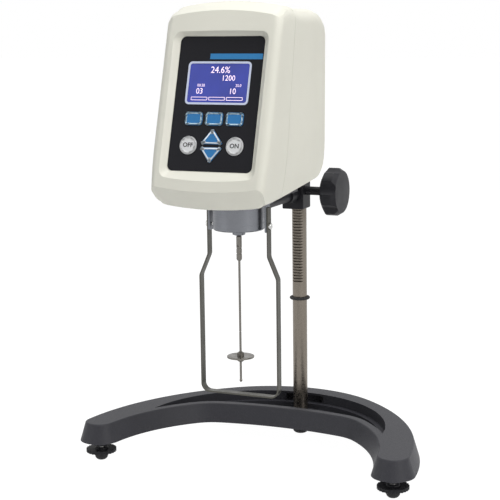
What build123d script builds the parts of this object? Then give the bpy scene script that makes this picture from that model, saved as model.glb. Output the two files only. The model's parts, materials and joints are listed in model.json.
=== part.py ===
from build123d import *
from math import acos, asin, atan2, cos, degrees, hypot, pi, radians, sin, sqrt, tan
import os

# Benchtop rotational viscometer on a rack-and-pinion laboratory stand, in millimetres.
# Origin: on the bench, on the axis of the upright rod.  +X is the user's right,
# -Y is towards the user and +Z is up.  Each sub-part is written to parts/NAME.step.

OUT_DIR = "parts"

# ---------------------------------------------------------------- fits
RUNNING_FIT = 0.05      # radial gap of a shaft in its bearing
SLIP_FIT = 0.15         # gap round a part that drops into its seat
KEY_GAP = 0.25          # gap round a key in its opening

# ---------------------------------------------------------------- stand base
BASE_TOP_Z = 42.0       # height of the casting's upper face
BASE_BOTTOM_Z = 22.0    # height of the casting's lower rim
BASE_DRAFT = 6.0        # how far the walls flare out from the top face to the lower rim
BASE_BACK_Y = 35.0      # rear edge of the upper face, on the centre line
BASE_FRONT_Y = -54.0    # inner edge of the upper face, on the centre line
FOOT_X = 160.7          # levelling foot, from the centre line
FOOT_Y = -165.4         # levelling foot, in front of the rod
ARM_END_R = 15.5        # radius of the rounded arm end, at the upper face
BACK_ARC_R = 132.0      # radius of the rear edge behind the rod
BACK_ARC_END = 52.7     # angle at which the rear arc runs into the side arc, degrees
FRONT_ARC_R = 366.0     # radius of the inner edge in front of the rod
FRONT_ARC_END = 79.0    # angle at which that arc runs into the inner corner, degrees
CORNER_R = 50.0         # radius of the inner corner
CORNER_END = 48.0       # angle at which the corner runs into the arm, degrees
TROUGH_WALL = 8.0       # width of the front lip beside the trough
TROUGH_R = 130.0        # radius of the trough's rear wall
TROUGH_BACK_Y = 14.0    # place of the rear wall on the centre line
LEDGE_W = 6.0           # width of the ledge along the rear wall
LEDGE_Z = 31.5          # height of the ledge
FLOOR_Z = 26.0          # height of the trough's floor
CAST_WALL = 5.0         # wall of the hollow casting
SLOT_W = 44.0           # width of the pocket in the rear wall
SLOT_DEPTH = 9.0        # depth of that pocket
FOOT_BOSS_R = 9.8       # foot boss at the casting's lower rim
FOOT_BOSS_TIP_R = 8.4   # foot boss at its lower end
FOOT_BOSS_Z = 16.5      # lower end of the foot boss

# ---------------------------------------------------------------- levelling feet
STUD_R = 4.0            # M8 stud
STUD_TOP_Z = 35.0
KNOB_DISC_R = 15.8      # knurled disc that the fingers turn
KNOB_DISC_Z = 9.0
KNOB_DISC_H = 3.4
KNOB_HUB_R = 6.6
KNOB_HUB_TOP_Z = 14.2
KNURL_COUNT = 24
PAD_R = 6.9             # domed foot pad
PAD_H = 8.6

# ---------------------------------------------------------------- upright rod
ROD_R = 7.94            # 5/8 inch rod
ROD_TOP_Z = 382.0
ROD_SHOULDER_Z = 19.0   # lower end of the full diameter, on the casting's web
SPIGOT_R = 6.0          # threaded spigot below the shoulder
SPIGOT_END_Z = 8.6
WASHER_R = 12.0
WASHER_T = 1.6
NUT_AF = 19.0
NUT_H = 5.6
RACK_MODULE = 1.0
RACK_PITCH_Y = -6.0     # pitch line of the rack, in front of the rod's axis
RACK_LOW_Z = 172.0      # lowest tooth
RUN_OUT_Z = 159.0       # end of the milled flat below the teeth
RACK_HIGH_Z = 350.0
TOP_GROOVE_Z = 354.0    # turned groove that marks off the rod's plain upper end
TOP_GROOVE_W = 1.4
TOP_GROOVE_DEPTH = 0.35
STOP_RING_Z = 153.5     # rubber ring on the rod
STOP_RING_R = 1.6       # radius of the ring's section
REAR_FOOT_R = 8.6
REAR_FOOT_H = 8.0
REAR_FOOT_ROUND = 4.4

# ---------------------------------------------------------------- clamp
CLAMP_HALF_W = 12.0
CLAMP_FRONT_Y = -20.0
CLAMP_BOTTOM_Z = 254.0
CLAMP_TOP_Z = 312.0
BUSH_WALL = 1.4
BUSH_H = 9.0
PINION_TEETH = 10
PINION_W = 9.0
PINION_Z = 273.6
PINION_SHAFT_R = 3.0
SLEEVE_R = 4.6          # the clamp's sleeve round the pinion shaft
KNOB_X = 34.5           # inner face of the height knob
KNOB_W = 19.5
KNOB_R = 25.4
KNOB_LOBES = 6
KNOB_TURN = 15.0        # angle from the vertical to the first lobe, degrees
KNOB_DOME = 0.8         # rise of the knob's end at its centre
KNOB_NECK_R = 5.6
KNOB_NECK_W = 5.0
FLUTE_R = 13.0
FLUTE_DEPTH = 3.2
HEAD_ROD_R = 6.35       # half-inch rod that carries the head
HEAD_ROD_Z = 270.0
SNOUT_R = 8.4           # boss on the clamp round the head's rod
SNOUT_FRONT_Y = -38.0
SNOUT_FLOOR_Y = -22.5
LOCK_SCREW_Y = -30.0
LOCK_SCREW_R = 3.0
LOCK_KNOB_R = 8.5
TENSION_Z = 297.0

# ---------------------------------------------------------------- head housing
FACE_TILT = 17.0        # the face leans back by this angle
PANEL_Y = -210.1        # centre of the black panel
PANEL_Z = 379.0
PANEL_W = 86.9
PANEL_H = 129.6
PANEL_R = 5.5
PANEL_T = 1.6
RECESS_DEPTH = 5.3      # from the bezel's face down to the panel
BEVEL_W = 5.6           # width of the recess's sloping side walls, seen from the front
BEVEL_TOP_W = 1.8       # width of its upper wall at the corners
BEVEL_TOP_BOW = 2.4     # arch of the recess's upper edge
BEVEL_LOW_W = 6.6       # width of its lower wall at the corners
BEVEL_LOW_BOW = 3.6     # arch of the recess's lower edge
HEAD_HALF_W = 59.6       # half width of the head
HEAD_TOP_Z = 473.6
HEAD_LOW_Z = 281.0
TOP_CREASE_Z = 465.4    # where the face meets the crown
CHIN_Z = 299.0          # where the face meets the chin
LIP_Y = -228.5          # lower lip of the bezel
CROWN_FRONT_Y = -171.0
CROWN_REAR_Y = -98.0
CROWN_DROP = 8.0        # the crown falls by this much towards the rear
REAR_Y = -58.5          # fullest point of the rear cover
REAR_FULL_Z = 392.0
NAPE_R = 34.0           # large rounding between the crown and the back
HEEL_Y = -90.0          # rear end of the underside
HEEL_Z = 296.5
REAR_CORNER_R = 12.0
FACE_EDGE_R = 8.0        # soft edges between the face and the sides
SHELL = 3.0
SEAM_TOP = (-155.0, 453.0)     # the seam between bezel and rear cover, as (y, z)
SEAM_LOW = (-185.0, 287.0)
SEAM_GAP = 0.5
PAD_DEPTH = 9.6         # depth of the bezel's solid pad behind its face

# ---------------------------------------------------------------- controls, from the panel's centre
DISPLAY_V = 19.8
DISPLAY_W = 65.0
DISPLAY_H = 41.4
DISPLAY_R = 4.0
SCREEN_W = 61.2
SCREEN_H = 37.6
SCREEN_R = 2.4
SOFT_KEY_W = 17.8
SOFT_KEY_H = 12.6
SOFT_KEY_R = 3.0
SOFT_KEY_PITCH = 21.0
SOFT_KEY_V = -14.6
ARROW_HALF_W = 11.6
ARROW_H = 14.9
ARROW_R = 0.9
ARROW_MID_V = -40.3
ARROW_SPACE = 3.1
ROUND_KEY_U = 23.9
ROUND_KEY_V = -40.2
ROUND_KEY_R = 8.7
KEY_PROUD = 0.8         # a key stands above the panel by this much
KEY_FLANGE = 1.0
SWITCH_DEPTH = 11.4      # front of the switch board, behind the bezel's face

# ---------------------------------------------------------------- measuring system
SPINDLE_Y = -161.5
CHASSIS_LOW_Z = 284.0
CHASSIS_FLANGE_Z = 300.0
CHASSIS_FLANGE_T = 4.0
BLOCK_HALF_W = 36.0
BLOCK_FRONT_Y = -204.0
BLOCK_REAR_Y = -92.0
BOSS_END_Y = -104.0     # rear end of the boss that holds the head's rod
BOSS_R = 9.6
CUP_R = 25.4            # 2 inch pivot cup
CUP_LOW_Z = 253.2
CUP_WALL = 3.0
CUP_FLANGE_R = 34.0     # flange against the chassis, which carries the two lugs
CUP_FLANGE_T = 5.0
NOSE_R = 6.4
NOSE_TIP_R = 3.1
NOSE_H = 5.2            # cylindrical part of the nose
NOSE_TIP_H = 1.3        # and its conical end
LUG_T = 1.8             # lug on each side of the cup, inside the guard leg's arm
LUG_W = 9.4
LUG_LOW_Z = 251.4
GUARD_W = 8.0
GUARD_T = 1.6
GUARD_UPPER_X = 32.0
GUARD_LOWER_X = 41.4
GUARD_TOP_Z = 276.0
GUARD_BEND_HIGH_Z = 227.2
GUARD_BEND_LOW_Z = 205.5
GUARD_LOW_Z = 86.4
GUARD_BEND_R = 8.0
GUARD_SCREW_Z = 257.5
HUB_R = 2.75
HUB_TOP_Z = 246.2
HUB_LOW_Z = 221.8
SHAFT_R = 1.15
DISC_R = 13.65
DISC_T = 1.6
DISC_Z = 124.6
TIP_Z = 98.7
PIVOT_R = 1.5
GEAR_MODULE = 1.0
GEAR_TEETH = 48
MOTOR_TEETH = 12
GEAR_Z = 312.0
GEAR_W = 6.0
GEAR_SLACK = 0.12
DRIVE_R = 3.95
BEARING_R = 11.0
BEARING_H = 7.0
MOTOR_PLATE_Z = 322.0
MOTOR_PLATE_T = 3.0
MOTOR_R = 14.5
MOTOR_H = 36.0


# ================================================================ helpers
def save(name, shape):
    """Write one sub-part."""
    export_step(shape, os.path.join(OUT_DIR, name + ".step"))


def rod_z(radius, low, high, x=0.0, y=0.0):
    """Cylinder along Z between two heights."""
    body = Cylinder(radius, high - low, align=(Align.CENTER, Align.CENTER, Align.MIN))
    return Pos(x, y, low) * body


def rod_x(radius, low, high, y, z):
    """Cylinder along X between two places."""
    body = Cylinder(radius, high - low, align=(Align.CENTER, Align.CENTER, Align.MIN))
    return Pos(low, y, z) * Rot(0, 90, 0) * body


def rod_y(radius, low, high, x, z):
    """Cylinder along Y between two places."""
    body = Cylinder(radius, high - low, align=(Align.CENTER, Align.CENTER, Align.MIN))
    return Pos(x, low, z) * Rot(-90, 0, 0) * body


def block(low, high):
    """Box between two corners."""
    size = [b - a for a, b in zip(low, high)]
    centre = [(a + b) / 2 for a, b in zip(low, high)]
    return Pos(*centre) * Box(*size)


def lathe(points, x=0.0, y=0.0):
    """Turn an outline of (radius, z) points about a vertical axis."""
    outline = make_face(Plane.XZ * Polyline(*points, close=True))
    return Pos(x, y, 0) * revolve(outline, Axis.Z)


def hex_prism(across_flats, low, high, x=0.0, y=0.0):
    """Hexagonal prism along Z."""
    outline = RegularPolygon(across_flats / 2, 6, major_radius=False)
    return Pos(x, y, low) * extrude(outline, high - low)


def involute(angle):
    return tan(angle) - angle


def gear_outline(module, teeth, slack, phase=0.0):
    """Spur gear outline; with phase 0 a tooth points along +X.  slack thins each tooth."""
    pitch_r = module * teeth / 2
    base_r = pitch_r * cos(radians(20))
    tip_r = pitch_r + module
    root_r = pitch_r - 1.25 * module
    start_r = max(base_r, root_r)
    radii = [start_r + (tip_r - start_r) * k / 3 for k in range(4)]

    def half_angle(radius):
        thick = pi / (2 * teeth) - slack / (2 * pitch_r)
        return thick + involute(radians(20)) - involute(acos(min(1.0, base_r / radius)))

    flank = [(r, half_angle(r)) for r in radii]
    if root_r < start_r:
        flank.insert(0, (root_r, half_angle(start_r)))
    points = []
    for tooth in range(teeth):
        mid = 2 * pi * tooth / teeth + radians(phase)
        rise = [(r, mid - a) for r, a in flank]
        fall = [(r, mid + a) for r, a in reversed(flank)]
        points += [(r * cos(t), r * sin(t)) for r, t in rise + fall]
    return make_face(Polyline(*points, close=True))


# ================================================================ stand base
def base_outline(grow):
    """Plan of the crescent, grown outwards by `grow` all round, with every arc concentric."""
    foot = (FOOT_X, FOOT_Y)
    back_c = (0.0, BASE_BACK_Y - BACK_ARC_R)
    a_back = radians(BACK_ARC_END)
    n_back = (cos(a_back), sin(a_back))
    p = (back_c[0] + BACK_ARC_R * n_back[0], back_c[1] + BACK_ARC_R * n_back[1])
    v = (foot[0] - p[0], foot[1] - p[1])
    reach = v[0] * n_back[0] + v[1] * n_back[1]
    side_r = (ARM_END_R ** 2 - v[0] ** 2 - v[1] ** 2) / (2 * (reach + ARM_END_R))
    side_c = (p[0] - side_r * n_back[0], p[1] - side_r * n_back[1])

    front_c = (0.0, BASE_FRONT_Y - FRONT_ARC_R)
    a_front = radians(FRONT_ARC_END)
    q = (front_c[0] + FRONT_ARC_R * cos(a_front), front_c[1] + FRONT_ARC_R * sin(a_front))
    corner_c = (q[0] - CORNER_R * cos(a_front), q[1] - CORNER_R * sin(a_front))
    a_corner = radians(CORNER_END)
    n_arm = (cos(a_corner), sin(a_corner))
    s = (corner_c[0] + CORNER_R * n_arm[0], corner_c[1] + CORNER_R * n_arm[1])
    w = (foot[0] - s[0], foot[1] - s[1])
    reach = w[0] * n_arm[0] + w[1] * n_arm[1]
    arm_r = (ARM_END_R ** 2 - w[0] ** 2 - w[1] ** 2) / (2 * (reach - ARM_END_R))
    arm_c = (s[0] - arm_r * n_arm[0], s[1] - arm_r * n_arm[1])

    def on(centre, radius, angle):
        return (centre[0] + radius * cos(angle), centre[1] + radius * sin(angle))

    a_side = atan2(foot[1] - side_c[1], foot[0] - side_c[0])
    a_arm = atan2(foot[1] - arm_c[1], foot[0] - arm_c[0])
    arcs = [
        (back_c, BACK_ARC_R + grow, pi / 2, a_back),
        (side_c, side_r + grow, a_back, a_side),
        (foot, ARM_END_R + grow, a_side, a_arm - pi),
        (arm_c, arm_r - grow, a_arm, a_corner),
        (corner_c, CORNER_R - grow, a_corner, a_front),
        (front_c, FRONT_ARC_R - grow, a_front, pi / 2),
    ]
    right, left = [], []
    for centre, radius, start, end in arcs:
        ends = [on(centre, radius, t) for t in (start, (start + end) / 2, end)]
        right.append(ThreePointArc(*ends))
        left.append(ThreePointArc(*[(-x, y) for x, y in ends]))
    return make_face(Wire(right + left))


def trough_plan(inset):
    """Plan of the trough: inside the lip, and in front of the round rear wall."""
    wall = Pos(0, TROUGH_BACK_Y - TROUGH_R) * Circle(TROUGH_R - inset)
    return base_outline(-TROUGH_WALL) & wall


def base_casting():
    low = Pos(0, 0, BASE_BOTTOM_Z) * base_outline(BASE_DRAFT)
    high = Pos(0, 0, BASE_TOP_Z) * base_outline(0.0)
    body = loft([low, high], ruled=True)
    rim = [e for e in body.edges() if e.center().Z > BASE_TOP_Z - 0.1]
    body = fillet(rim, 1.6)
    body -= Pos(0, 0, LEDGE_Z) * extrude(trough_plan(0.0), BASE_TOP_Z)
    body -= Pos(0, 0, FLOOR_Z) * extrude(trough_plan(LEDGE_W), BASE_TOP_Z)
    slot_low = (-SLOT_W / 2, TROUGH_BACK_Y - LEDGE_W, LEDGE_Z)
    body -= block(slot_low, (SLOT_W / 2, TROUGH_BACK_Y + SLOT_DEPTH, BASE_TOP_Z - 2.5))

    # The casting is hollow from below, all round outside the trough.
    hollow = base_outline(-CAST_WALL) - Pos(0, TROUGH_BACK_Y - TROUGH_R) * Circle(TROUGH_R + SLOT_DEPTH + 3)
    for piece in hollow.faces():
        body -= Pos(0, 0, BASE_BOTTOM_Z - 1) * extrude(piece, BASE_TOP_Z - CAST_WALL - BASE_BOTTOM_Z + 1)
    for side in (-1, 1):
        x = side * FOOT_X
        body += rod_z(FOOT_BOSS_R, BASE_BOTTOM_Z, BASE_TOP_Z - 2, x, FOOT_Y)
        tip = [(0, FOOT_BOSS_Z), (FOOT_BOSS_TIP_R, FOOT_BOSS_Z),
               (FOOT_BOSS_R, BASE_BOTTOM_Z), (0, BASE_BOTTOM_Z)]
        body += lathe(tip, x, FOOT_Y)
        body -= rod_z(STUD_R + RUNNING_FIT, FOOT_BOSS_Z - 1, STUD_TOP_Z + 3, x, FOOT_Y)

    # Socket for the upright rod, with a web that its shoulder stands on.
    web_z = ROD_SHOULDER_Z - 3.0
    body += rod_z(ROD_R + 7, web_z, FLOOR_Z)
    body -= rod_z(ROD_R + RUNNING_FIT, ROD_SHOULDER_Z, BASE_TOP_Z)
    body -= rod_z(SPIGOT_R + 0.3, web_z - 1, ROD_SHOULDER_Z + 1)
    return body


# ================================================================ levelling feet
def levelling_foot(x):
    """Swivel pad, threaded stud and knurled knob of one levelling foot."""
    ball_r = 2.6
    neck_r = 2.0
    pad = rod_z(PAD_R, 0, PAD_H, x, FOOT_Y)
    rim = [e for e in pad.edges() if e.center().Z < 0.1]
    pad = fillet(rim, PAD_R - 2.0)
    pad -= rod_z(neck_r + RUNNING_FIT, PAD_H - 4.0, PAD_H + 1, x, FOOT_Y)
    pad -= rod_z(ball_r + RUNNING_FIT, PAD_H - 6.0, PAD_H - 3.5, x, FOOT_Y)
    stud = rod_z(STUD_R, KNOB_DISC_Z, STUD_TOP_Z, x, FOOT_Y)
    tip = [e for e in stud.edges() if e.center().Z > STUD_TOP_Z - 0.1]
    stud = chamfer(tip, 0.8)
    stud += rod_z(neck_r, PAD_H - 4.0, KNOB_DISC_Z, x, FOOT_Y)
    stud += rod_z(ball_r, PAD_H - 5.9, PAD_H - 3.8, x, FOOT_Y)
    disc = Circle(KNOB_DISC_R)
    for k in range(KNURL_COUNT):
        turn = 360 * k / KNURL_COUNT
        disc -= Rot(0, 0, turn) * Pos(KNOB_DISC_R + 0.9, 0) * Circle(1.7)
    knob = Pos(x, FOOT_Y, KNOB_DISC_Z) * extrude(disc, KNOB_DISC_H)
    hub = [(0, KNOB_DISC_Z), (KNOB_HUB_R + 1.6, KNOB_DISC_Z), (KNOB_HUB_R, KNOB_HUB_TOP_Z - 1),
           (KNOB_HUB_R - 1, KNOB_HUB_TOP_Z), (0, KNOB_HUB_TOP_Z)]
    knob += lathe(hub, x, FOOT_Y)
    knob -= rod_z(STUD_R, KNOB_DISC_Z - 1, KNOB_HUB_TOP_Z + 1, x, FOOT_Y)
    return pad, stud, knob


# ================================================================ upright rod
def upright_rod():
    body = rod_z(ROD_R, ROD_SHOULDER_Z, ROD_TOP_Z)
    crown = [e for e in body.edges() if e.center().Z > ROD_TOP_Z - 0.1]
    body = chamfer(crown, 1.2)
    body += rod_z(SPIGOT_R, SPIGOT_END_Z, ROD_SHOULDER_Z)
    pitch = pi * RACK_MODULE
    tip_y = RACK_PITCH_Y - RACK_MODULE
    root_y = RACK_PITCH_Y + 1.25 * RACK_MODULE
    slope = tan(radians(20))
    tip_half = pitch / 4 - RACK_MODULE * slope
    root_half = pitch / 4 + 1.25 * RACK_MODULE * slope
    first = int((RACK_LOW_Z - PINION_Z) / pitch)
    last = int((RACK_HIGH_Z - PINION_Z) / pitch)
    out_y = -ROD_R - 2
    comb = [(out_y, RUN_OUT_Z), (-ROD_R, RUN_OUT_Z), (tip_y, RACK_LOW_Z - 2)]
    for k in range(first, last):
        gap_z = PINION_Z + k * pitch
        gap_half = pitch / 2 - tip_half
        floor_half = pitch / 2 - root_half
        comb += [(tip_y, gap_z - gap_half), (root_y, gap_z - floor_half),
                 (root_y, gap_z + floor_half), (tip_y, gap_z + gap_half)]
    comb += [(tip_y, RACK_HIGH_Z), (out_y, RACK_HIGH_Z)]
    cutter = make_face(Plane.YZ * Polyline(*comb, close=True))
    body -= extrude(cutter, ROD_R + 1, both=True)
    groove = rod_z(ROD_R + 1, TOP_GROOVE_Z - TOP_GROOVE_W / 2, TOP_GROOVE_Z + TOP_GROOVE_W / 2)
    body -= groove - rod_z(ROD_R - TOP_GROOVE_DEPTH, RACK_HIGH_Z, ROD_TOP_Z)
    foot_stud = rod_z(2.5, SPIGOT_END_Z - 1, SPIGOT_END_Z + 8)
    return body - foot_stud


def rod_fixings():
    """Flanged nut, rear foot and rubber stop ring of the upright rod."""
    web_z = ROD_SHOULDER_Z - 3.0
    flange_z = web_z - WASHER_T
    nut = hex_prism(NUT_AF, flange_z - NUT_H, flange_z) & rod_z(NUT_AF / 2 * 1.1, 0, 30)
    nut += rod_z(WASHER_R, flange_z, web_z)
    nut -= rod_z(SPIGOT_R, 0, 30)
    foot = rod_z(REAR_FOOT_R, 0, REAR_FOOT_H)
    low = [e for e in foot.edges() if e.center().Z < 0.1]
    foot = fillet(low, REAR_FOOT_ROUND)
    foot += rod_z(2.4, REAR_FOOT_H - 1, SPIGOT_END_Z + 7)
    ring = Pos(0, 0, STOP_RING_Z) * Torus(ROD_R + STOP_RING_R, STOP_RING_R)
    return nut, foot, ring


# ================================================================ clamp
PINION_R = RACK_MODULE * PINION_TEETH / 2
PINION_Y = RACK_PITCH_Y - PINION_R


def clamp_body():
    """Sliding clamp: block round the rod, pinion housing and a snout for the head's rod."""
    plan = Rectangle(2 * CLAMP_HALF_W, -CLAMP_FRONT_Y, align=(Align.CENTER, Align.MAX))
    plan += Circle(CLAMP_HALF_W)
    body = Pos(0, 0, CLAMP_BOTTOM_Z) * extrude(plan, CLAMP_TOP_Z - CLAMP_BOTTOM_Z)
    front = [e for e in body.edges()
             if abs(e.center().Y - CLAMP_FRONT_Y) < 0.1 and abs(abs(e.center().X) - CLAMP_HALF_W) < 0.1]
    body = fillet(front, 1.5)
    rims = [e for e in body.edges() if e.center().Z > CLAMP_TOP_Z - 0.1 or e.center().Z < CLAMP_BOTTOM_Z + 0.1]
    body = fillet(rims, 1.0)
    body += rod_y(SNOUT_R, SNOUT_FRONT_Y, CLAMP_FRONT_Y + 2, 0, HEAD_ROD_Z)
    pad_top = HEAD_ROD_Z + SNOUT_R + 2.0
    body += rod_z(5.5, HEAD_ROD_Z, pad_top, 0, LOCK_SCREW_Y)
    body -= rod_y(HEAD_ROD_R + RUNNING_FIT, SNOUT_FRONT_Y - 1, SNOUT_FLOOR_Y, 0, HEAD_ROD_Z)
    body -= rod_z(LOCK_SCREW_R + RUNNING_FIT, HEAD_ROD_Z, pad_top + 1, 0, LOCK_SCREW_Y)

    # Bore for the rod, opened at both ends for its bushes.
    body -= rod_z(ROD_R + 0.4, CLAMP_BOTTOM_Z - 1, CLAMP_TOP_Z + 1)
    for low in (CLAMP_BOTTOM_Z, CLAMP_TOP_Z - BUSH_H):
        body -= rod_z(ROD_R + RUNNING_FIT + BUSH_WALL, low - 0.01, low + BUSH_H + 0.01)

    # Pinion chamber, open to the rod, and the journals on either side of it.
    body += rod_x(SLEEVE_R, CLAMP_HALF_W - 2, KNOB_X - KNOB_NECK_W - 0.4, PINION_Y, PINION_Z)
    chamber_r = PINION_R + RACK_MODULE + 0.4
    body -= rod_x(chamber_r, -PINION_W / 2 - 0.4, CLAMP_HALF_W - 3.0, PINION_Y, PINION_Z)
    body -= rod_x(PINION_SHAFT_R + RUNNING_FIT, -CLAMP_HALF_W - 1, KNOB_X, PINION_Y, PINION_Z)

    # Threaded hole for the tension screw, at the left of the rod.
    body += rod_x(6.0, -CLAMP_HALF_W - 3.0, -CLAMP_HALF_W + 2, 0, TENSION_Z)
    body -= rod_x(4.0 + RUNNING_FIT, -CLAMP_HALF_W - 4.0, -ROD_R + 2, 0, TENSION_Z)
    body -= rod_z(ROD_R + 0.4, CLAMP_BOTTOM_Z - 1, CLAMP_TOP_Z + 1)
    return body


def rod_bushes():
    """Plastic bushes in the two ends of the clamp's bore."""
    rings = []
    for low in (CLAMP_BOTTOM_Z, CLAMP_TOP_Z - BUSH_H):
        ring = rod_z(ROD_R + RUNNING_FIT + BUSH_WALL, low, low + BUSH_H)
        rings.append(ring - rod_z(ROD_R + RUNNING_FIT, low - 1, low + BUSH_H + 1))
    return Compound(children=rings)


def tension_parts():
    """Nylon insert that bears on the rod, and the screw that presses it."""
    tip_x = -(ROD_R + RUNNING_FIT)
    insert = rod_x(3.95, tip_x - 3.0, tip_x + 2, 0, TENSION_Z)
    insert -= rod_z(ROD_R + RUNNING_FIT, TENSION_Z - 10, TENSION_Z + 10)
    head_x = -CLAMP_HALF_W - 3.2
    screw = rod_x(3.95, head_x, tip_x - 3.05, 0, TENSION_Z)
    screw += rod_x(7.0, head_x - 6.0, head_x, 0, TENSION_Z)
    screw -= block((head_x - 7, -8, TENSION_Z - 0.8), (head_x - 4.4, 8, TENSION_Z + 0.8))
    return insert, screw


def pinion_shaft():
    """Shaft with its pinion cut in one piece, and a flat for the knob."""
    outline = gear_outline(RACK_MODULE, PINION_TEETH, GEAR_SLACK, phase=90.0)
    # Turn the flat outline so that a tooth points at the rod, and lay its axis along X.
    wheel = extrude(outline, PINION_W)
    wheel = Pos(-PINION_W / 2, PINION_Y, PINION_Z) * Rot(0, 90, 0) * Rot(0, 0, 0) * wheel
    shaft = rod_x(PINION_SHAFT_R, -CLAMP_HALF_W - 3.0, -PINION_W / 2, PINION_Y, PINION_Z)
    shaft += rod_x(PINION_SHAFT_R, PINION_W / 2, KNOB_X + KNOB_W - 4.0, PINION_Y, PINION_Z)
    return wheel + shaft


def height_knob():
    """Lobed hand knob with bevelled ends and a short neck towards the clamp."""
    plan = Circle(KNOB_R)
    for k in range(KNOB_LOBES):
        turn = 360 * (k + 0.5) / KNOB_LOBES - KNOB_TURN
        plan -= Rot(0, 0, turn) * Pos(KNOB_R + FLUTE_R - FLUTE_DEPTH, 0) * Circle(FLUTE_R)
    plan = fillet(plan.vertices(), 1.6)
    body = extrude(plan, KNOB_W + KNOB_DOME)
    rim = Polyline((0, 0), (KNOB_R - 7.0, 0), (KNOB_R, 4.0), (KNOB_R, KNOB_W - 5.0), (KNOB_R - 3.0, KNOB_W))
    rim_r = KNOB_R - 3.0
    dome = ThreePointArc((rim_r, KNOB_W), (rim_r / 2, KNOB_W + 0.75 * KNOB_DOME), (0, KNOB_W + KNOB_DOME))
    axis = Line((0, KNOB_W + KNOB_DOME), (0, 0))
    envelope = revolve(Plane.XZ * make_face(Wire(rim.edges() + [dome, axis])), Axis.Z)
    body &= envelope
    body += Pos(0, 0, -KNOB_NECK_W) * Cylinder(KNOB_NECK_R, KNOB_NECK_W + 1, align=(Align.CENTER, Align.CENTER, Align.MIN))
    body -= Cylinder(PINION_SHAFT_R + 0.02, 2 * (KNOB_W - 4.0))
    return Pos(KNOB_X, PINION_Y, PINION_Z) * Rot(0, 90, 0) * body


def retaining_ring():
    """Snap ring that keeps the pinion shaft in the clamp."""
    x = -CLAMP_HALF_W - 1.6
    return rod_x(6.0, x, x + 1.3, PINION_Y, PINION_Z) - rod_x(PINION_SHAFT_R, x - 1, x + 3, PINION_Y, PINION_Z)


def head_lock_screw():
    """Knurled screw on top of the snout that grips the head's rod."""
    seat = HEAD_ROD_Z + SNOUT_R + 2.0
    plan = Circle(LOCK_KNOB_R)
    for k in range(16):
        plan -= Rot(0, 0, 22.5 * k) * Pos(LOCK_KNOB_R + 0.5, 0) * Circle(1.1)
    knob = Pos(0, LOCK_SCREW_Y, seat + 0.6) * extrude(plan, 9.0)
    return knob + rod_z(LOCK_SCREW_R, HEAD_ROD_Z + HEAD_ROD_R + 0.05, seat + 1.0, 0, LOCK_SCREW_Y)


# ================================================================ head housing
TILT = radians(FACE_TILT)
FACE_UP = (0.0, sin(TILT), cos(TILT))
FACE_OUT = (0.0, -cos(TILT), sin(TILT))


def face_plane(depth):
    """Plane parallel to the panel, `depth` behind the bezel's face; local x is right, y is up."""
    shift = RECESS_DEPTH - depth
    origin = (0.0, PANEL_Y + shift * FACE_OUT[1], PANEL_Z + shift * FACE_OUT[2])
    return Plane(origin=origin, x_dir=(1, 0, 0), z_dir=FACE_OUT)


def face_point(v, depth=0.0):
    """Point (y, z) on the centre line of the face, v above the panel's centre."""
    shift = RECESS_DEPTH - depth
    return (PANEL_Y + shift * FACE_OUT[1] + v * FACE_UP[1],
            PANEL_Z + shift * FACE_OUT[2] + v * FACE_UP[2])


def face_at_z(z):
    """Point (y, z) of the bezel's face at a given height."""
    base_y, base_z = face_point(0.0)
    return (base_y + (z - base_z) * tan(TILT), z)


def side_outline(inset):
    """The head from the side: chin, leaning face, crown, rounded back and sloping underside."""
    chin = face_at_z(CHIN_Z)
    brow = face_at_z(TOP_CREASE_Z)
    crown = (CROWN_FRONT_Y, HEAD_TOP_Z)
    nape = (CROWN_REAR_Y, HEAD_TOP_Z - CROWN_DROP)
    back_top = (REAR_Y - 3.0, nape[1] - NAPE_R)
    back_low = (REAR_Y - 9.0, HEEL_Z + 23.0)
    heel = (HEEL_Y, HEEL_Z)
    bend_run = (back_top[0] - nape[0]) * sin(pi / 4)
    bend_rise = NAPE_R * sin(pi / 4)
    edges = [
        Line((LIP_Y, HEAD_LOW_Z), chin),
        Line(chin, brow),
        ThreePointArc(brow, ((brow[0] + crown[0]) / 2 - 1.2, (brow[1] + crown[1]) / 2 + 1.6), crown),
        Line(crown, nape),
        ThreePointArc(nape, (nape[0] + bend_run, back_top[1] + bend_rise), back_top),
        ThreePointArc(back_top, (REAR_Y, REAR_FULL_Z), back_low),
        ThreePointArc(back_low, (REAR_Y - 16.5, HEEL_Z + 6.5), heel),
        Line(heel, (LIP_Y, HEAD_LOW_Z)),
    ]
    face = make_face(Wire(edges))
    return offset(face, -inset, kind=Kind.INTERSECTION) if inset else face


def plan_outline(inset):
    """The head from above: rounded rear corners."""
    length = REAR_Y + 300.0
    face = Rectangle(2 * HEAD_HALF_W, length, align=(Align.CENTER, Align.MAX))
    rear = [v for v in face.vertices() if v.Y > -1]
    face = Pos(0, REAR_Y) * fillet(rear, REAR_CORNER_R)
    return offset(face, -inset, kind=Kind.INTERSECTION) if inset else face


def arched_prism(origin, direction, drop, inset):
    """Everything below a surface that runs along `direction` and is arched from side to side."""
    length = hypot(direction[1], direction[2])
    run = (0.0, direction[1] / length, direction[2] / length)
    half = 90.0
    fall = drop * (half / 50.0) ** 2
    place = Plane(origin=origin, x_dir=(-1, 0, 0), z_dir=run)
    arch = ThreePointArc((-half, -fall - inset), (0, -inset), (half, -fall - inset))
    rest = Polyline((half, -fall - inset), (half, -320), (-half, -320), (-half, -fall - inset))
    return extrude(place * make_face(Wire([arch] + rest.edges())), 320, both=True)


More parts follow.
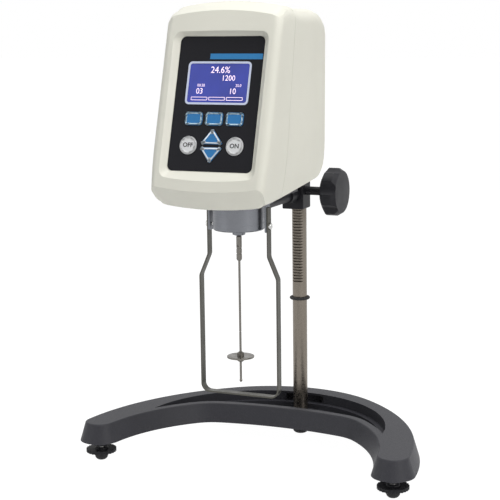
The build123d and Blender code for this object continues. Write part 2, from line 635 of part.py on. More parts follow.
def head_form(inset):
    """The head's outer form, or the same form `inset` further in."""
    body = extrude(Plane.YZ * side_outline(inset), 80, both=True)
    body &= Pos(0, 0, HEAD_LOW_Z - 20) * extrude(plan_outline(inset), 240)
    brow = face_at_z(TOP_CREASE_Z)
    rise = (0.0, CROWN_FRONT_Y - brow[0], HEAD_TOP_Z - brow[1])
    body &= arched_prism((0, brow[0], brow[1]), rise, CROWN_DROP, inset)
    chin = face_at_z(CHIN_Z)
    climb = (0.0, chin[0] - LIP_Y, chin[1] - HEAD_LOW_Z)
    body &= arched_prism((0, chin[0], chin[1]), climb, 2.8, inset)
    return body


def soft_edges(body):
    """Round the long edges between the face and the sides."""
    face_y, face_z = face_point(0.0)

    def off_face(point):
        return abs((point.Y - face_y) * FACE_OUT[1] + (point.Z - face_z) * FACE_OUT[2])

    long_edges = [e for e in body.edges() if e.length > 100 and off_face(e.center()) < 0.5
                  and abs(e.center().X) > HEAD_HALF_W - 9]
    return fillet(long_edges, FACE_EDGE_R)


def seam_side(front, gap):
    """Half-space block in front of, or behind, the leaning seam plane."""
    y0, z0 = SEAM_LOW
    y1, z1 = SEAM_TOP
    length = hypot(y1 - y0, z1 - z0)
    out = (0.0, -(z1 - z0) / length, (y1 - y0) / length)
    place = Plane(origin=(0, y0, z0), x_dir=(1, 0, 0), z_dir=out)
    slab = Box(400, 900, 400, align=(Align.CENTER, Align.CENTER, Align.MIN))
    shift = gap / 2
    if front:
        return place * Pos(0, 0, shift) * slab
    return place * Pos(0, 0, -shift) * Rot(180, 0, 0) * slab


def rounded(width, height, radius, depth, u=0.0, v=0.0):
    """Rounded rectangle on a plane parallel to the panel."""
    return face_plane(depth) * Pos(u, v) * RectangleRounded(width, height, radius)


def display_hole(depth, grow=0.0):
    return rounded(DISPLAY_W + 2 * grow, DISPLAY_H + 2 * grow, DISPLAY_R + grow, depth, 0, DISPLAY_V)


def key_outline(kind, grow=0.0):
    """Flat outline of one key, in panel coordinates."""
    if kind.startswith("soft"):
        u = {"soft_left": -1, "soft_middle": 0, "soft_right": 1}[kind] * SOFT_KEY_PITCH
        radius = SOFT_KEY_R + grow
        return Pos(u, SOFT_KEY_V) * RectangleRounded(SOFT_KEY_W + 2 * grow, SOFT_KEY_H + 2 * grow, radius)
    if kind in ("round_left", "round_right"):
        side = -1 if kind == "round_left" else 1
        return Pos(side * ROUND_KEY_U, ROUND_KEY_V) * Circle(ROUND_KEY_R + grow)
    sign = 1 if kind == "arrow_up" else -1
    base = ARROW_MID_V + sign * ARROW_SPACE / 2
    tip = base + sign * ARROW_H
    face = make_face(Polyline((-ARROW_HALF_W, base), (ARROW_HALF_W, base), (0, tip), close=True))
    face = fillet(face.vertices(), ARROW_R)
    return offset(face, grow) if grow else face


KEYS = ("soft_left", "soft_middle", "soft_right", "arrow_up", "arrow_down", "round_left", "round_right")


def recess_cutter():
    """The recess with sloping walls, its upper and lower edges arched, and the panel's seat."""
    half_w = PANEL_W / 2
    half_h = PANEL_H / 2

    def outline(depth, half_x, top, low, bows, radius):
        edges = [
            ThreePointArc((-half_x, top), (0, top + bows[0]), (half_x, top)),
            Line((half_x, top), (half_x, low)),
            ThreePointArc((half_x, low), (0, low - bows[1]), (-half_x, low)),
            Line((-half_x, low), (-half_x, top)),
        ]
        face = make_face(Wire(edges))
        return face_plane(depth) * fillet(face.vertices(), radius)

    bows = (BEVEL_TOP_BOW, BEVEL_LOW_BOW)
    mouth = outline(-0.02, half_w + BEVEL_W, half_h + BEVEL_TOP_W, -half_h - BEVEL_LOW_W, bows, PANEL_R + 2)
    floor = outline(RECESS_DEPTH, half_w + 0.6, half_h + 0.5, -half_h - 0.6, (0.3, 0.3), PANEL_R)
    cut = loft([floor, mouth], ruled=True)
    seat = rounded(PANEL_W + 2 * SLIP_FIT, PANEL_H + 2 * SLIP_FIT, PANEL_R, RECESS_DEPTH + PANEL_T)
    return cut + extrude(seat, PANEL_T + 0.5)


def chassis_opening():
    low = (-BLOCK_HALF_W - 0.3, BLOCK_FRONT_Y - 0.3, HEAD_LOW_Z - 30)
    return block(low, (BLOCK_HALF_W + 0.3, BLOCK_REAR_Y + 0.3, CHASSIS_FLANGE_Z - 0.05))


CASE_SCREW_X = 42.0
CASE_SCREW_YS = (-207.0, -96.0)


def underside_z(y):
    """Height of the head's underside at y."""
    return HEAD_LOW_Z + (HEEL_Z - HEAD_LOW_Z) * (y - LIP_Y) / (HEEL_Y - LIP_Y)


def screw_posts(front):
    """Posts inside a shell that stand on its underside and carry the chassis."""
    y = CASE_SCREW_YS[0 if front else 1]
    posts = []
    for side in (-1, 1):
        post = rod_z(4.6, underside_z(y) + 1.5, CHASSIS_FLANGE_Z - 0.05, side * CASE_SCREW_X, y)
        posts.append(post)
    return posts


def screw_holes(front):
    """Counterbores and clearance holes for the case screws."""
    y = CASE_SCREW_YS[0 if front else 1]
    low = underside_z(y)
    cuts = []
    for side in (-1, 1):
        x = side * CASE_SCREW_X
        cuts.append(rod_z(1.8, low - 20, CHASSIS_FLANGE_Z + 1, x, y))
        cuts.append(rod_z(3.4, low - 20, low + 2.4, x, y))
    return cuts


def front_bezel(outer, inner):
    """Front shell: face with a bevelled recess, and openings for the display and the keys."""
    shell = outer & seam_side(True, SEAM_GAP)
    pad = extrude(rounded(PANEL_W + 14, PANEL_H + 22, 6, PAD_DEPTH), PAD_DEPTH + 20)
    shell -= inner - pad
    for post in screw_posts(True):
        shell += post & outer
    for u, v in ((-31.5, -26.0), (31.5, -26.0), (-31.5, -56.0), (31.5, -56.0)):
        shell += extrude(face_plane(SWITCH_DEPTH) * Pos(u, v) * Circle(2.0), SWITCH_DEPTH - PAD_DEPTH + 0.1)
    shell -= recess_cutter()
    shell -= extrude(rounded(SCREEN_W + 5, SCREEN_H + 5, 2, PAD_DEPTH + 1, 0, DISPLAY_V), 12)
    for kind in KEYS:
        hole = face_plane(PAD_DEPTH + 1) * key_outline(kind, KEY_GAP)
        shell -= extrude(hole, 6)
    shell -= chassis_opening()
    for cut in screw_holes(True):
        shell -= cut
    return shell


def rear_cover(outer, inner):
    """Rear shell: crowned top with a level seat, inlet and switch openings in its back."""
    shell = outer & seam_side(False, SEAM_GAP)
    shell -= inner
    for post in screw_posts(False):
        shell += post & outer
    shell -= chassis_opening()
    for cut in screw_holes(False):
        shell -= cut
    shell += rod_z(LEVEL_R + 3, LEVEL_Z - 2, HEAD_TOP_Z, 0, LEVEL_Y) & outer
    shell -= rod_z(LEVEL_R + SLIP_FIT, LEVEL_Z, HEAD_TOP_Z + 5, 0, LEVEL_Y)
    shell -= block((-INLET_W / 2 - SLIP_FIT, REAR_Y - 40, INLET_Z - INLET_H / 2 - SLIP_FIT),
                   (INLET_W / 2 + SLIP_FIT, REAR_Y + 10, INLET_Z + INLET_H / 2 + SLIP_FIT))
    shell -= block((SWITCH_X - SWITCH_W / 2 - SLIP_FIT, REAR_Y - 40, INLET_Z - SWITCH_H / 2 - SLIP_FIT),
                   (SWITCH_X + SWITCH_W / 2 + SLIP_FIT, REAR_Y + 10, INLET_Z + SWITCH_H / 2 + SLIP_FIT))
    shell -= block((PORT_X - PORT_W / 2 - SLIP_FIT, REAR_Y - 40, INLET_Z - PORT_H / 2 - SLIP_FIT),
                   (PORT_X + PORT_W / 2 + SLIP_FIT, REAR_Y + 10, INLET_Z + PORT_H / 2 + SLIP_FIT))
    # Flats that the flanges of the three fittings bear on.
    seat_y = back_y(INLET_Z) + 0.65
    for x, half_w, half_h in ((0, INLET_W / 2 + 2.2, INLET_H / 2 + 2.2),
                              (SWITCH_X, SWITCH_W / 2 + 1.4, SWITCH_H / 2 + 1.4)):
        shell -= block((x - half_w, seat_y, INLET_Z - half_h), (x + half_w, seat_y + 12, INLET_Z + half_h))
    for row in range(5):
        z = VENT_Z + row * VENT_PITCH
        slot = block((-VENT_W / 2, REAR_Y - 12, z - 1.2), (VENT_W / 2, REAR_Y + 6, z + 1.2))
        shell -= slot
    return shell


# ---------------------------------------------------------------- rear fittings
LEVEL_R = 8.0
LEVEL_Y = -118.0
LEVEL_Z = 459.5
INLET_Z = 338.0
INLET_W = 27.5
INLET_H = 20.0
SWITCH_X = 31.0
SWITCH_W = 13.5
SWITCH_H = 19.5
PORT_X = -31.0
PORT_W = 12.4
PORT_H = 11.0
VENT_Z = 392.0
VENT_PITCH = 7.0
VENT_W = 56.0


def back_y(z):
    """The back's surface at height z, on its fullest arc."""
    top = (REAR_Y - 3.0, HEAD_TOP_Z - CROWN_DROP - NAPE_R)
    low = (REAR_Y - 9.0, HEEL_Z + 23.0)
    mid = (REAR_Y, REAR_FULL_Z)
    arc = ThreePointArc(top, mid, low)
    centre, radius = arc.arc_center, arc.radius
    return centre.X + sqrt(radius ** 2 - (z - centre.Y) ** 2)


def power_inlet():
    """Three-pin appliance inlet: flanged body with a shrouded recess."""
    y = back_y(INLET_Z)
    body = block((-INLET_W / 2, y - 20, INLET_Z - INLET_H / 2), (INLET_W / 2, y + 0.8, INLET_Z + INLET_H / 2))
    corners = [e for e in body.edges() if e.length > 15 and abs(e.center().Z - INLET_Z) > INLET_H / 2 - 0.1
               and abs(e.center().X) > INLET_W / 2 - 0.1]
    body = fillet(corners, 1.2)
    lip = block((-INLET_W / 2 - 2, y + 0.7, INLET_Z - INLET_H / 2 - 2),
                (INLET_W / 2 + 2, y + 2.4, INLET_Z + INLET_H / 2 + 2))
    body += lip
    recess = block((-11.8, y - 14, INLET_Z - 7.6), (11.8, y + 4, INLET_Z + 7.6))
    edges = [e for e in recess.edges() if e.length > 15 and abs(e.length - 18) < 0.5 and e.center().Z > INLET_Z]
    recess = chamfer(edges, 3.2)
    return body - recess


def inlet_pins():
    """The inlet's three flat contacts."""
    y = back_y(INLET_Z)
    pins = []
    for x, z in ((-7.0, -2.0), (0.0, 2.0), (7.0, -2.0)):
        pins.append(block((x - 1, y - 14.0, INLET_Z + z - 2), (x + 1, y - 1.0, INLET_Z + z + 2)))
    return Compound(children=pins)


def power_switch():
    """Rocker switch: frame, and the rocker on its pivot, shown switched off."""
    y = back_y(INLET_Z)
    frame = block((SWITCH_X - SWITCH_W / 2, y - 16, INLET_Z - SWITCH_H / 2),
                  (SWITCH_X + SWITCH_W / 2, y + 0.8, INLET_Z + SWITCH_H / 2))
    frame += block((SWITCH_X - SWITCH_W / 2 - 1.2, y + 0.7, INLET_Z - SWITCH_H / 2 - 1.2),
                   (SWITCH_X + SWITCH_W / 2 + 1.2, y + 2.2, INLET_Z + SWITCH_H / 2 + 1.2))
    frame -= block((SWITCH_X - 5.2, y - 10, INLET_Z - 8.2), (SWITCH_X + 5.2, y + 5, INLET_Z + 8.2))
    frame += rod_x(1.2, SWITCH_X - 5.6, SWITCH_X + 5.6, y - 2.0, INLET_Z)
    outline = [(y - 4.6, -3.0), (y + 1.2, -6.6), (y + 2.4, 0.0), (y + 3.4, 6.6), (y - 4.6, 3.0)]
    rocker = make_face(Plane.YZ * Polyline(*[(a, INLET_Z + b) for a, b in outline], close=True))
    rocker = Pos(SWITCH_X, 0, 0) * extrude(rocker, 4.9, both=True)
    rocker -= rod_x(1.2 + RUNNING_FIT, SWITCH_X - 6, SWITCH_X + 6, y - 2.0, INLET_Z)
    return frame, rocker


def data_port():
    """Square data socket with its tongue."""
    y = back_y(INLET_Z)
    body = block((PORT_X - PORT_W / 2, y - 14, INLET_Z - PORT_H / 2), (PORT_X + PORT_W / 2, y + 0.6, INLET_Z + PORT_H / 2))
    body -= block((PORT_X - 4.2, y - 9, INLET_Z - 3.9), (PORT_X + 4.2, y + 3, INLET_Z + 3.9))
    body += block((PORT_X - 2.8, y - 9.5, INLET_Z - 1.5), (PORT_X + 2.8, y - 1.0, INLET_Z + 1.5))
    return body


def bubble_level():
    """Round level let into the crown: cup and glass."""
    top = level_top()
    cup = rod_z(LEVEL_R, LEVEL_Z, top, 0, LEVEL_Y) - rod_z(LEVEL_R - 1.4, LEVEL_Z + 1.0, top + 1, 0, LEVEL_Y)
    glass = rod_z(LEVEL_R - 1.45, LEVEL_Z + 1.0, top - 0.4, 0, LEVEL_Y)
    return cup, glass


def level_top():
    """Just under the crown's surface at the level's rear edge."""
    run = (LEVEL_Y + LEVEL_R - CROWN_FRONT_Y) / (CROWN_REAR_Y - CROWN_FRONT_Y)
    return HEAD_TOP_Z - CROWN_DROP * run + 0.3


def keypad_panel():
    """Black panel with its openings."""
    body = extrude(rounded(PANEL_W, PANEL_H, PANEL_R, RECESS_DEPTH + PANEL_T), PANEL_T)
    body -= extrude(display_hole(RECESS_DEPTH + PANEL_T + 1, SLIP_FIT), 4)
    for kind in KEYS:
        body -= extrude(face_plane(RECESS_DEPTH + PANEL_T + 1) * key_outline(kind, KEY_GAP), 4)
    return body


def key_cap(kind):
    """Key with a flange behind the bezel's pad that keeps it in."""
    back = PAD_DEPTH + 0.8
    cap = extrude(face_plane(back) * key_outline(kind), back - RECESS_DEPTH + KEY_PROUD)
    front = cap.faces().sort_by(Axis((0, 0, 0), FACE_OUT))[-1]
    cap = fillet(front.edges(), 0.35)
    return cap + extrude(face_plane(back) * key_outline(kind, KEY_FLANGE), 0.6)


def display_parts():
    """Frame, glass and module of the display."""
    frame = extrude(display_hole(RECESS_DEPTH + PANEL_T), PANEL_T + 0.2)
    frame -= extrude(rounded(SCREEN_W, SCREEN_H, SCREEN_R, RECESS_DEPTH + PANEL_T + 1, 0, DISPLAY_V), 6)
    glass = extrude(rounded(SCREEN_W - 0.1, SCREEN_H - 0.1, SCREEN_R - 0.05, RECESS_DEPTH + PANEL_T, 0, DISPLAY_V), PANEL_T - 0.2)
    module = extrude(rounded(SCREEN_W + 4.5, SCREEN_H + 4.5, 1.5, 14.0, 0, DISPLAY_V), 14.0 - RECESS_DEPTH - PANEL_T)
    return frame, glass, module


def circuit_boards():
    """Switch board behind the keys, and the main board behind the display."""
    switch_v = (SOFT_KEY_V + SOFT_KEY_H / 2 + ARROW_MID_V - ARROW_H - 6) / 2
    switches = extrude(rounded(68, 56, 2, SWITCH_DEPTH + 1.6, 0, switch_v), 1.6)
    main = extrude(rounded(84, 118, 3, 20.0, 0, 4.0), 1.6)
    for u, v in ((-38, 56), (38, 56), (-38, -48), (38, -48)):
        main -= extrude(face_plane(21.0) * Pos(u, v) * Circle(1.7), 4)
    return switches, main


def board_posts():
    """Spacers that hold the boards off the bezel's pad."""
    posts = []
    for u, v in ((-38, 56), (38, 56), (-38, -48), (38, -48)):
        posts.append(extrude(face_plane(18.4) * Pos(u, v) * Circle(3.0), 18.4 - PAD_DEPTH))
    return posts


# ================================================================ chassis and measuring system
def chassis_casting():
    """Casting that closes the underside and carries the cup, the motor plate and the head's rod."""
    body = block((-BLOCK_HALF_W, BLOCK_FRONT_Y, CHASSIS_LOW_Z), (BLOCK_HALF_W, BLOCK_REAR_Y, CHASSIS_FLANGE_Z + 1))
    upright = [e for e in body.edges() if abs(e.center().Z - (CHASSIS_LOW_Z + CHASSIS_FLANGE_Z + 1) / 2) < 0.1
               and e.length > 10 and abs(e.center().X) > BLOCK_HALF_W - 0.1]
    body = fillet(upright, 4.0)
    flange = block((-48, -216, CHASSIS_FLANGE_Z), (48, -89, CHASSIS_FLANGE_Z + CHASSIS_FLANGE_T))
    body += flange
    boss_y = HEAD_ROD_FRONT_Y - 4.0
    body += rod_y(BOSS_R, boss_y, BOSS_END_Y, 0, HEAD_ROD_Z)
    body += block((-BOSS_R, boss_y, HEAD_ROD_Z), (BOSS_R, BOSS_END_Y, CHASSIS_LOW_Z + 1))
    body -= rod_y(HEAD_ROD_R, HEAD_ROD_FRONT_Y, BLOCK_REAR_Y + 6, 0, HEAD_ROD_Z)
    body -= rod_z(BEARING_R, CHASSIS_LOW_Z + 1.5, CHASSIS_FLANGE_Z + 6, 0, SPINDLE_Y)
    body -= rod_z(6.0, CHASSIS_LOW_Z - 1, CHASSIS_FLANGE_Z, 0, SPINDLE_Y)
    for y in CASE_SCREW_YS:
        for side in (-1, 1):
            body -= rod_z(1.45, CHASSIS_FLANGE_Z - 1, CHASSIS_FLANGE_Z + 6, side * CASE_SCREW_X, y)
    return body


HEAD_ROD_FRONT_Y = -122.0


def case_screws():
    screws = []
    for y in CASE_SCREW_YS:
        low = underside_z(y)
        for side in (-1, 1):
            x = side * CASE_SCREW_X
            head = rod_z(3.1, low + 0.2, low + 2.4, x, y)
            head += rod_z(1.45, low + 2.0, CHASSIS_FLANGE_Z + CHASSIS_FLANGE_T, x, y)
            screws.append(head - hex_prism(2.5, low - 1, low + 1.6, x, y))
    return Compound(children=screws)


def shaft_bearings():
    rings = []
    for low in (CHASSIS_LOW_Z + 1.5, CHASSIS_FLANGE_Z + CHASSIS_FLANGE_T - BEARING_H):
        ring = rod_z(BEARING_R, low, low + BEARING_H, 0, SPINDLE_Y)
        rings.append(ring - rod_z(DRIVE_R + RUNNING_FIT, low - 1, low + BEARING_H + 1, 0, SPINDLE_Y))
    return Compound(children=rings)


def pivot_cup():
    """Pivot cup: flange under the chassis, a nose round the shaft, and a lug on each side for the guard leg."""
    top = CHASSIS_LOW_Z
    flange_z = top - CUP_FLANGE_T
    bore_r = NOSE_TIP_R - 1.0
    nose_z = CUP_LOW_Z - NOSE_H
    outline = [(bore_r, nose_z - NOSE_TIP_H), (NOSE_TIP_R, nose_z - NOSE_TIP_H), (NOSE_R, nose_z), (NOSE_R, CUP_LOW_Z),
               (CUP_R - 1.0, CUP_LOW_Z), (CUP_R, CUP_LOW_Z + 1.0), (CUP_R, flange_z), (CUP_FLANGE_R, flange_z),
               (CUP_FLANGE_R, top), (CUP_R - CUP_WALL, top), (CUP_R - CUP_WALL, CUP_LOW_Z + 4.0),
               (bore_r, CUP_LOW_Z + 4.0)]
    body = lathe(outline, 0, SPINDLE_Y)
    lug_x = GUARD_UPPER_X - GUARD_T / 2
    # Flats on the flange, so that the guard leg's arms lie against the lugs up to their ends.
    for side in (-1, 1):
        low_x, high_x = sorted((side * lug_x, side * (CUP_FLANGE_R + 1)))
        body -= block((low_x, SPINDLE_Y - 20, flange_z - 1), (high_x, SPINDLE_Y + 20, top + 1))
        low_x, high_x = sorted((side * (lug_x - LUG_T), side * lug_x))
        lug = block((low_x, SPINDLE_Y - LUG_W / 2, LUG_LOW_Z), (high_x, SPINDLE_Y + LUG_W / 2, flange_z + 0.5))
        corners = [e for e in lug.edges() if e.center().Z < LUG_LOW_Z + 0.1 and e.length < LUG_T + 0.1]
        body += fillet(corners, 1.5)
        body -= rod_x(1.5, low_x - 1, high_x + 1, SPINDLE_Y, GUARD_SCREW_Z)
    return body


def guard_leg():
    """U-shaped strip bent from flat bar, its arms set out below the cup."""
    low = GUARD_LOW_Z - GUARD_T / 2
    path = [(GUARD_UPPER_X, GUARD_TOP_Z), (GUARD_UPPER_X, GUARD_BEND_HIGH_Z),
            (GUARD_LOWER_X, GUARD_BEND_LOW_Z), (GUARD_LOWER_X, low + GUARD_T / 2)]
    centre = path + [(-x, z) for x, z in reversed(path)]
    line = Plane.XZ * FilletPolyline(*centre, radius=GUARD_BEND_R)
    section = Plane(origin=(GUARD_UPPER_X, SPINDLE_Y, GUARD_TOP_Z), x_dir=(1, 0, 0), z_dir=(0, 0, -1))
    route = Pos(0, SPINDLE_Y, 0) * line
    body = sweep(section * Rectangle(GUARD_T, GUARD_W), path=route)
    for side in (-1, 1):
        x = side * GUARD_UPPER_X
        body -= rod_x(1.7, x - 3, x + 3, SPINDLE_Y, GUARD_SCREW_Z)
    return body


def guard_screws():
    screws = []
    flat_x = GUARD_UPPER_X - GUARD_T / 2
    for side in (-1, 1):
        face = flat_x + GUARD_T
        dome = Pos(0, SPINDLE_Y, GUARD_SCREW_Z) * Rot(0, 90, 0) * rod_z(3.4, face, face + 2.2)
        rim = [e for e in dome.edges() if e.center().X > face + 2.1]
        dome = fillet(rim, 1.2)
        dome += rod_x(1.5, flat_x - LUG_T - 0.8, face + 0.5, SPINDLE_Y, GUARD_SCREW_Z)
        dome -= block((face + 1.3, SPINDLE_Y - 4, GUARD_SCREW_Z - 0.4), (face + 3, SPINDLE_Y + 4, GUARD_SCREW_Z + 0.4))
        screws.append(dome if side > 0 else mirror(dome, Plane.YZ))
    return Compound(children=screws)


def jewel_bearing():
    """Jewel ring in the cup's floor that centres the pivot shaft."""
    low = CUP_LOW_Z + 4.0
    ring = rod_z(4.0, low, low + 3.0, 0, SPINDLE_Y)
    return ring - rod_z(PIVOT_R + RUNNING_FIT, low - 1, low + 4, 0, SPINDLE_Y)


CUP_TOP_Z = MOTOR_PLATE_Z + 20.0      # floor of the spring cup
SPRING_CUP_R = 14.5


def drive_shaft():
    """Hollow shaft that the motor turns, with the spring cup on its top."""
    tube = [(PIVOT_R + 0.9, CHASSIS_LOW_Z + 1.8), (DRIVE_R, CHASSIS_LOW_Z + 1.8), (DRIVE_R, CHASSIS_FLANGE_Z + CHASSIS_FLANGE_T + 0.4),
            (7.0, CHASSIS_FLANGE_Z + CHASSIS_FLANGE_T + 0.4), (7.0, GEAR_Z), (DRIVE_R, GEAR_Z), (DRIVE_R, CUP_TOP_Z),
            (SPRING_CUP_R, CUP_TOP_Z), (SPRING_CUP_R, CUP_TOP_Z + 11), (SPRING_CUP_R - 1.4, CUP_TOP_Z + 11),
            (SPRING_CUP_R - 1.4, CUP_TOP_Z + 2), (PIVOT_R + 0.9, CUP_TOP_Z + 2)]
    return lathe(tube, 0, SPINDLE_Y)


def drive_gear():
    outline = gear_outline(GEAR_MODULE, GEAR_TEETH, GEAR_SLACK, phase=90.0)
    body = Pos(0, SPINDLE_Y, GEAR_Z) * extrude(outline, GEAR_W)
    body -= rod_z(DRIVE_R, GEAR_Z - 1, GEAR_Z + GEAR_W + 1, 0, SPINDLE_Y)
    for k in range(5):
        turn = radians(90 + 72 * k)
        body -= rod_z(4.6, GEAR_Z - 1, GEAR_Z + GEAR_W + 1, 14 * cos(turn), SPINDLE_Y + 14 * sin(turn))
    return body


def hairspring():
    """Flat spiral spring between the spring cup and the pivot shaft's collar."""
    turns = 3.5
    inner_r = 4.6
    outer_r = SPRING_CUP_R - 1.9
    steps = 12
    count = int(turns * steps)
    line = []
    for k in range(count + 1):
        t = k / count
        radius = inner_r + (outer_r - inner_r) * t
        angle = 2 * pi * turns * t
        line.append((radius * cos(angle), radius * sin(angle)))
    half = 0.3
    outside = [(x * (1 + half / hypot(x, y)), y * (1 + half / hypot(x, y))) for x, y in line]
    inside = [(x * (1 - half / hypot(x, y)), y * (1 - half / hypot(x, y))) for x, y in line]
    ribbon = make_face(Polyline(*(outside + inside[::-1]), close=True))
    return Pos(0, SPINDLE_Y, CUP_TOP_Z + 4.0) * extrude(ribbon, 4.0)


def pivot_shaft():
    """Slender shaft inside the drive shaft: spring collar above, thread for the spindle below."""
    outline = [(0, HUB_TOP_Z - 8), (PIVOT_R, HUB_TOP_Z - 8), (PIVOT_R, CUP_TOP_Z + 3.5), (4.0, CUP_TOP_Z + 3.5),
               (4.0, CUP_TOP_Z + 9), (PIVOT_R, CUP_TOP_Z + 9), (PIVOT_R, CUP_TOP_Z + 16), (0, CUP_TOP_Z + 18)]
    return lathe(outline, 0, SPINDLE_Y)


def spindle_hub():
    """Coupling at the top of the spindle: grooves, a cross hole and a chamfered end."""
    low, top = HUB_LOW_Z, HUB_TOP_Z
    outline = [(0, low), (HUB_R - 1.0, low), (HUB_R, low + 1.4)]
    for z in (HUB_LOW_Z + 7.2, HUB_LOW_Z + 12.4):
        outline += [(HUB_R, z - 0.5), (HUB_R - 0.4, z - 0.4), (HUB_R - 0.4, z + 0.4), (HUB_R, z + 0.5)]
    outline += [(HUB_R, top - 0.5), (HUB_R - 0.5, top), (0, top)]
    body = lathe(outline, 0, SPINDLE_Y)
    body -= rod_z(PIVOT_R, top - 8, top + 1, 0, SPINDLE_Y)
    body -= rod_y(0.8, SPINDLE_Y - 5, SPINDLE_Y + 5, 0, top - 9.6)
    body -= rod_z(SHAFT_R, low - 1, low + 8, 0, SPINDLE_Y)
    return body


def disc_spindle():
    """Spindle shaft with its immersion groove, disc, cone and rounded tip."""
    disc_low = DISC_Z - DISC_T / 2
    disc_top = DISC_Z + DISC_T / 2
    mark = DISC_Z + 25.4
    outline = [(0, TIP_Z), (SHAFT_R * 0.8, TIP_Z), (SHAFT_R + 0.25, TIP_Z + 0.6), (SHAFT_R + 0.25, TIP_Z + 2.2),
               (SHAFT_R, TIP_Z + 2.8), (SHAFT_R, disc_low - 5.0), (3.4, disc_low - 3.4), (3.4, disc_low),
               (DISC_R - 0.2, disc_low), (DISC_R, disc_low + 0.2), (DISC_R, disc_top - 0.2), (DISC_R - 0.2, disc_top),
               (3.4, disc_top), (3.4, disc_top + 3.0), (SHAFT_R, disc_top + 4.6), (SHAFT_R, mark - 0.5),
               (SHAFT_R - 0.25, mark - 0.3), (SHAFT_R - 0.25, mark + 0.3), (SHAFT_R, mark + 0.5),
               (SHAFT_R, HUB_LOW_Z + 8), (0, HUB_LOW_Z + 8)]
    return lathe(outline, 0, SPINDLE_Y)


MOTOR_Y = SPINDLE_Y + GEAR_MODULE * (GEAR_TEETH + MOTOR_TEETH) / 2 + 0.1


def motor_parts():
    """Motor plate on its pillars, motor, and the pinion that meshes with the drive gear."""
    top = CHASSIS_FLANGE_Z + CHASSIS_FLANGE_T
    plate = block((-38, -196, MOTOR_PLATE_Z), (38, -104, MOTOR_PLATE_Z + MOTOR_PLATE_T))
    plate -= rod_z(9.0, MOTOR_PLATE_Z - 1, MOTOR_PLATE_Z + 9, 0, SPINDLE_Y)
    plate -= rod_z(8.0, MOTOR_PLATE_Z - 1, MOTOR_PLATE_Z + 9, 0, MOTOR_Y)
    pillars = []
    for x, y in ((-33, -191), (33, -191), (-33, -109), (33, -109)):
        pillars.append(rod_z(3.5, top, MOTOR_PLATE_Z, x, y))
    base = MOTOR_PLATE_Z + MOTOR_PLATE_T
    motor = rod_z(MOTOR_R, base, base + MOTOR_H, 0, MOTOR_Y)
    ends = [e for e in motor.edges() if e.center().Z > base + MOTOR_H - 0.1]
    motor = fillet(ends, 2.0)
    motor += rod_z(7.9, MOTOR_PLATE_Z + 0.5, base + 1, 0, MOTOR_Y)
    motor -= rod_z(2.0 + RUNNING_FIT, 0, base + 6, 0, MOTOR_Y)
    # Opposite phase: a gap of the pinion faces the drive gear's tooth.
    outline = gear_outline(GEAR_MODULE, MOTOR_TEETH, GEAR_SLACK, phase=-90.0 + 180.0 / MOTOR_TEETH)
    pinion = Pos(0, MOTOR_Y, GEAR_Z - 0.5) * extrude(outline, GEAR_W + 1)
    pinion += rod_z(2.0, GEAR_Z - 0.5, base + 5, 0, MOTOR_Y)
    return plate, pillars, motor, pinion


# ================================================================ build
def main():
    os.makedirs("parts", exist_ok=True)
    save("base_casting", base_casting())
    for side, x in (("left", -FOOT_X), ("right", FOOT_X)):
        pad, stud, knob = levelling_foot(x)
        save("foot_pad_" + side, pad)
        save("levelling_stud_" + side, stud)
        save("levelling_knob_" + side, knob)
    save("upright_rod", upright_rod())
    nut, foot, ring = rod_fixings()
    save("rod_nut", nut)
    save("rear_foot", foot)
    save("rod_stop_ring", ring)

    save("clamp_body", clamp_body())
    save("rod_bushes", rod_bushes())
    insert, screw = tension_parts()
    save("tension_insert", insert)
    save("tension_screw", screw)
    save("pinion_shaft", pinion_shaft())
    save("height_knob", height_knob())
    save("retaining_ring", retaining_ring())
    save("head_lock_screw", head_lock_screw())

    outer = soft_edges(head_form(0.0))
    inner = head_form(SHELL)
    save("front_bezel", front_bezel(outer, inner))
    save("rear_cover", rear_cover(outer, inner))
    save("keypad_panel", keypad_panel())
    for kind in KEYS:
        save("key_" + kind, key_cap(kind))
    frame, glass, module = display_parts()
    save("display_frame", frame)
    save("display_glass", glass)
    save("display_module", module)
    switches, board = circuit_boards()
    save("switch_board", switches)
    save("main_board", board)
    save("power_inlet", power_inlet())
    save("inlet_pins", inlet_pins())
    frame, rocker = power_switch()
    save("switch_frame", frame)
    save("power_rocker", rocker)
    save("data_port", data_port())
    cup, glass = bubble_level()
    save("level_cup", cup)
    save("level_glass", glass)

    save("chassis_casting", chassis_casting())
    save("case_screws", case_screws())
    rod = rod_y(HEAD_ROD_R, HEAD_ROD_FRONT_Y, SNOUT_FLOOR_Y - 0.3, 0, HEAD_ROD_Z)
    save("head_rod", chamfer([e for e in rod.edges() if e.length < 50 and e.center().Y > -30], 1.0))
    save("shaft_bearings", shaft_bearings())
    save("pivot_cup", pivot_cup())
    save("guard_leg", guard_leg())
    save("guard_screws", guard_screws())
    save("jewel_bearing", jewel_bearing())
    save("drive_shaft", drive_shaft())
    save("drive_gear", drive_gear())
    save("hairspring", hairspring())
    save("pivot_shaft", pivot_shaft())
    save("spindle_hub", spindle_hub())
    save("disc_spindle", disc_spindle())
    plate, pillars, motor, pinion = motor_parts()
    save("motor_plate", plate)
    save("spacer_posts", Compound(children=board_posts() + pillars))
    save("motor", motor)
    save("motor_pinion", pinion)


main()
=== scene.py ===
import json
import math
import bmesh
import bpy
from mathutils import Matrix, Vector


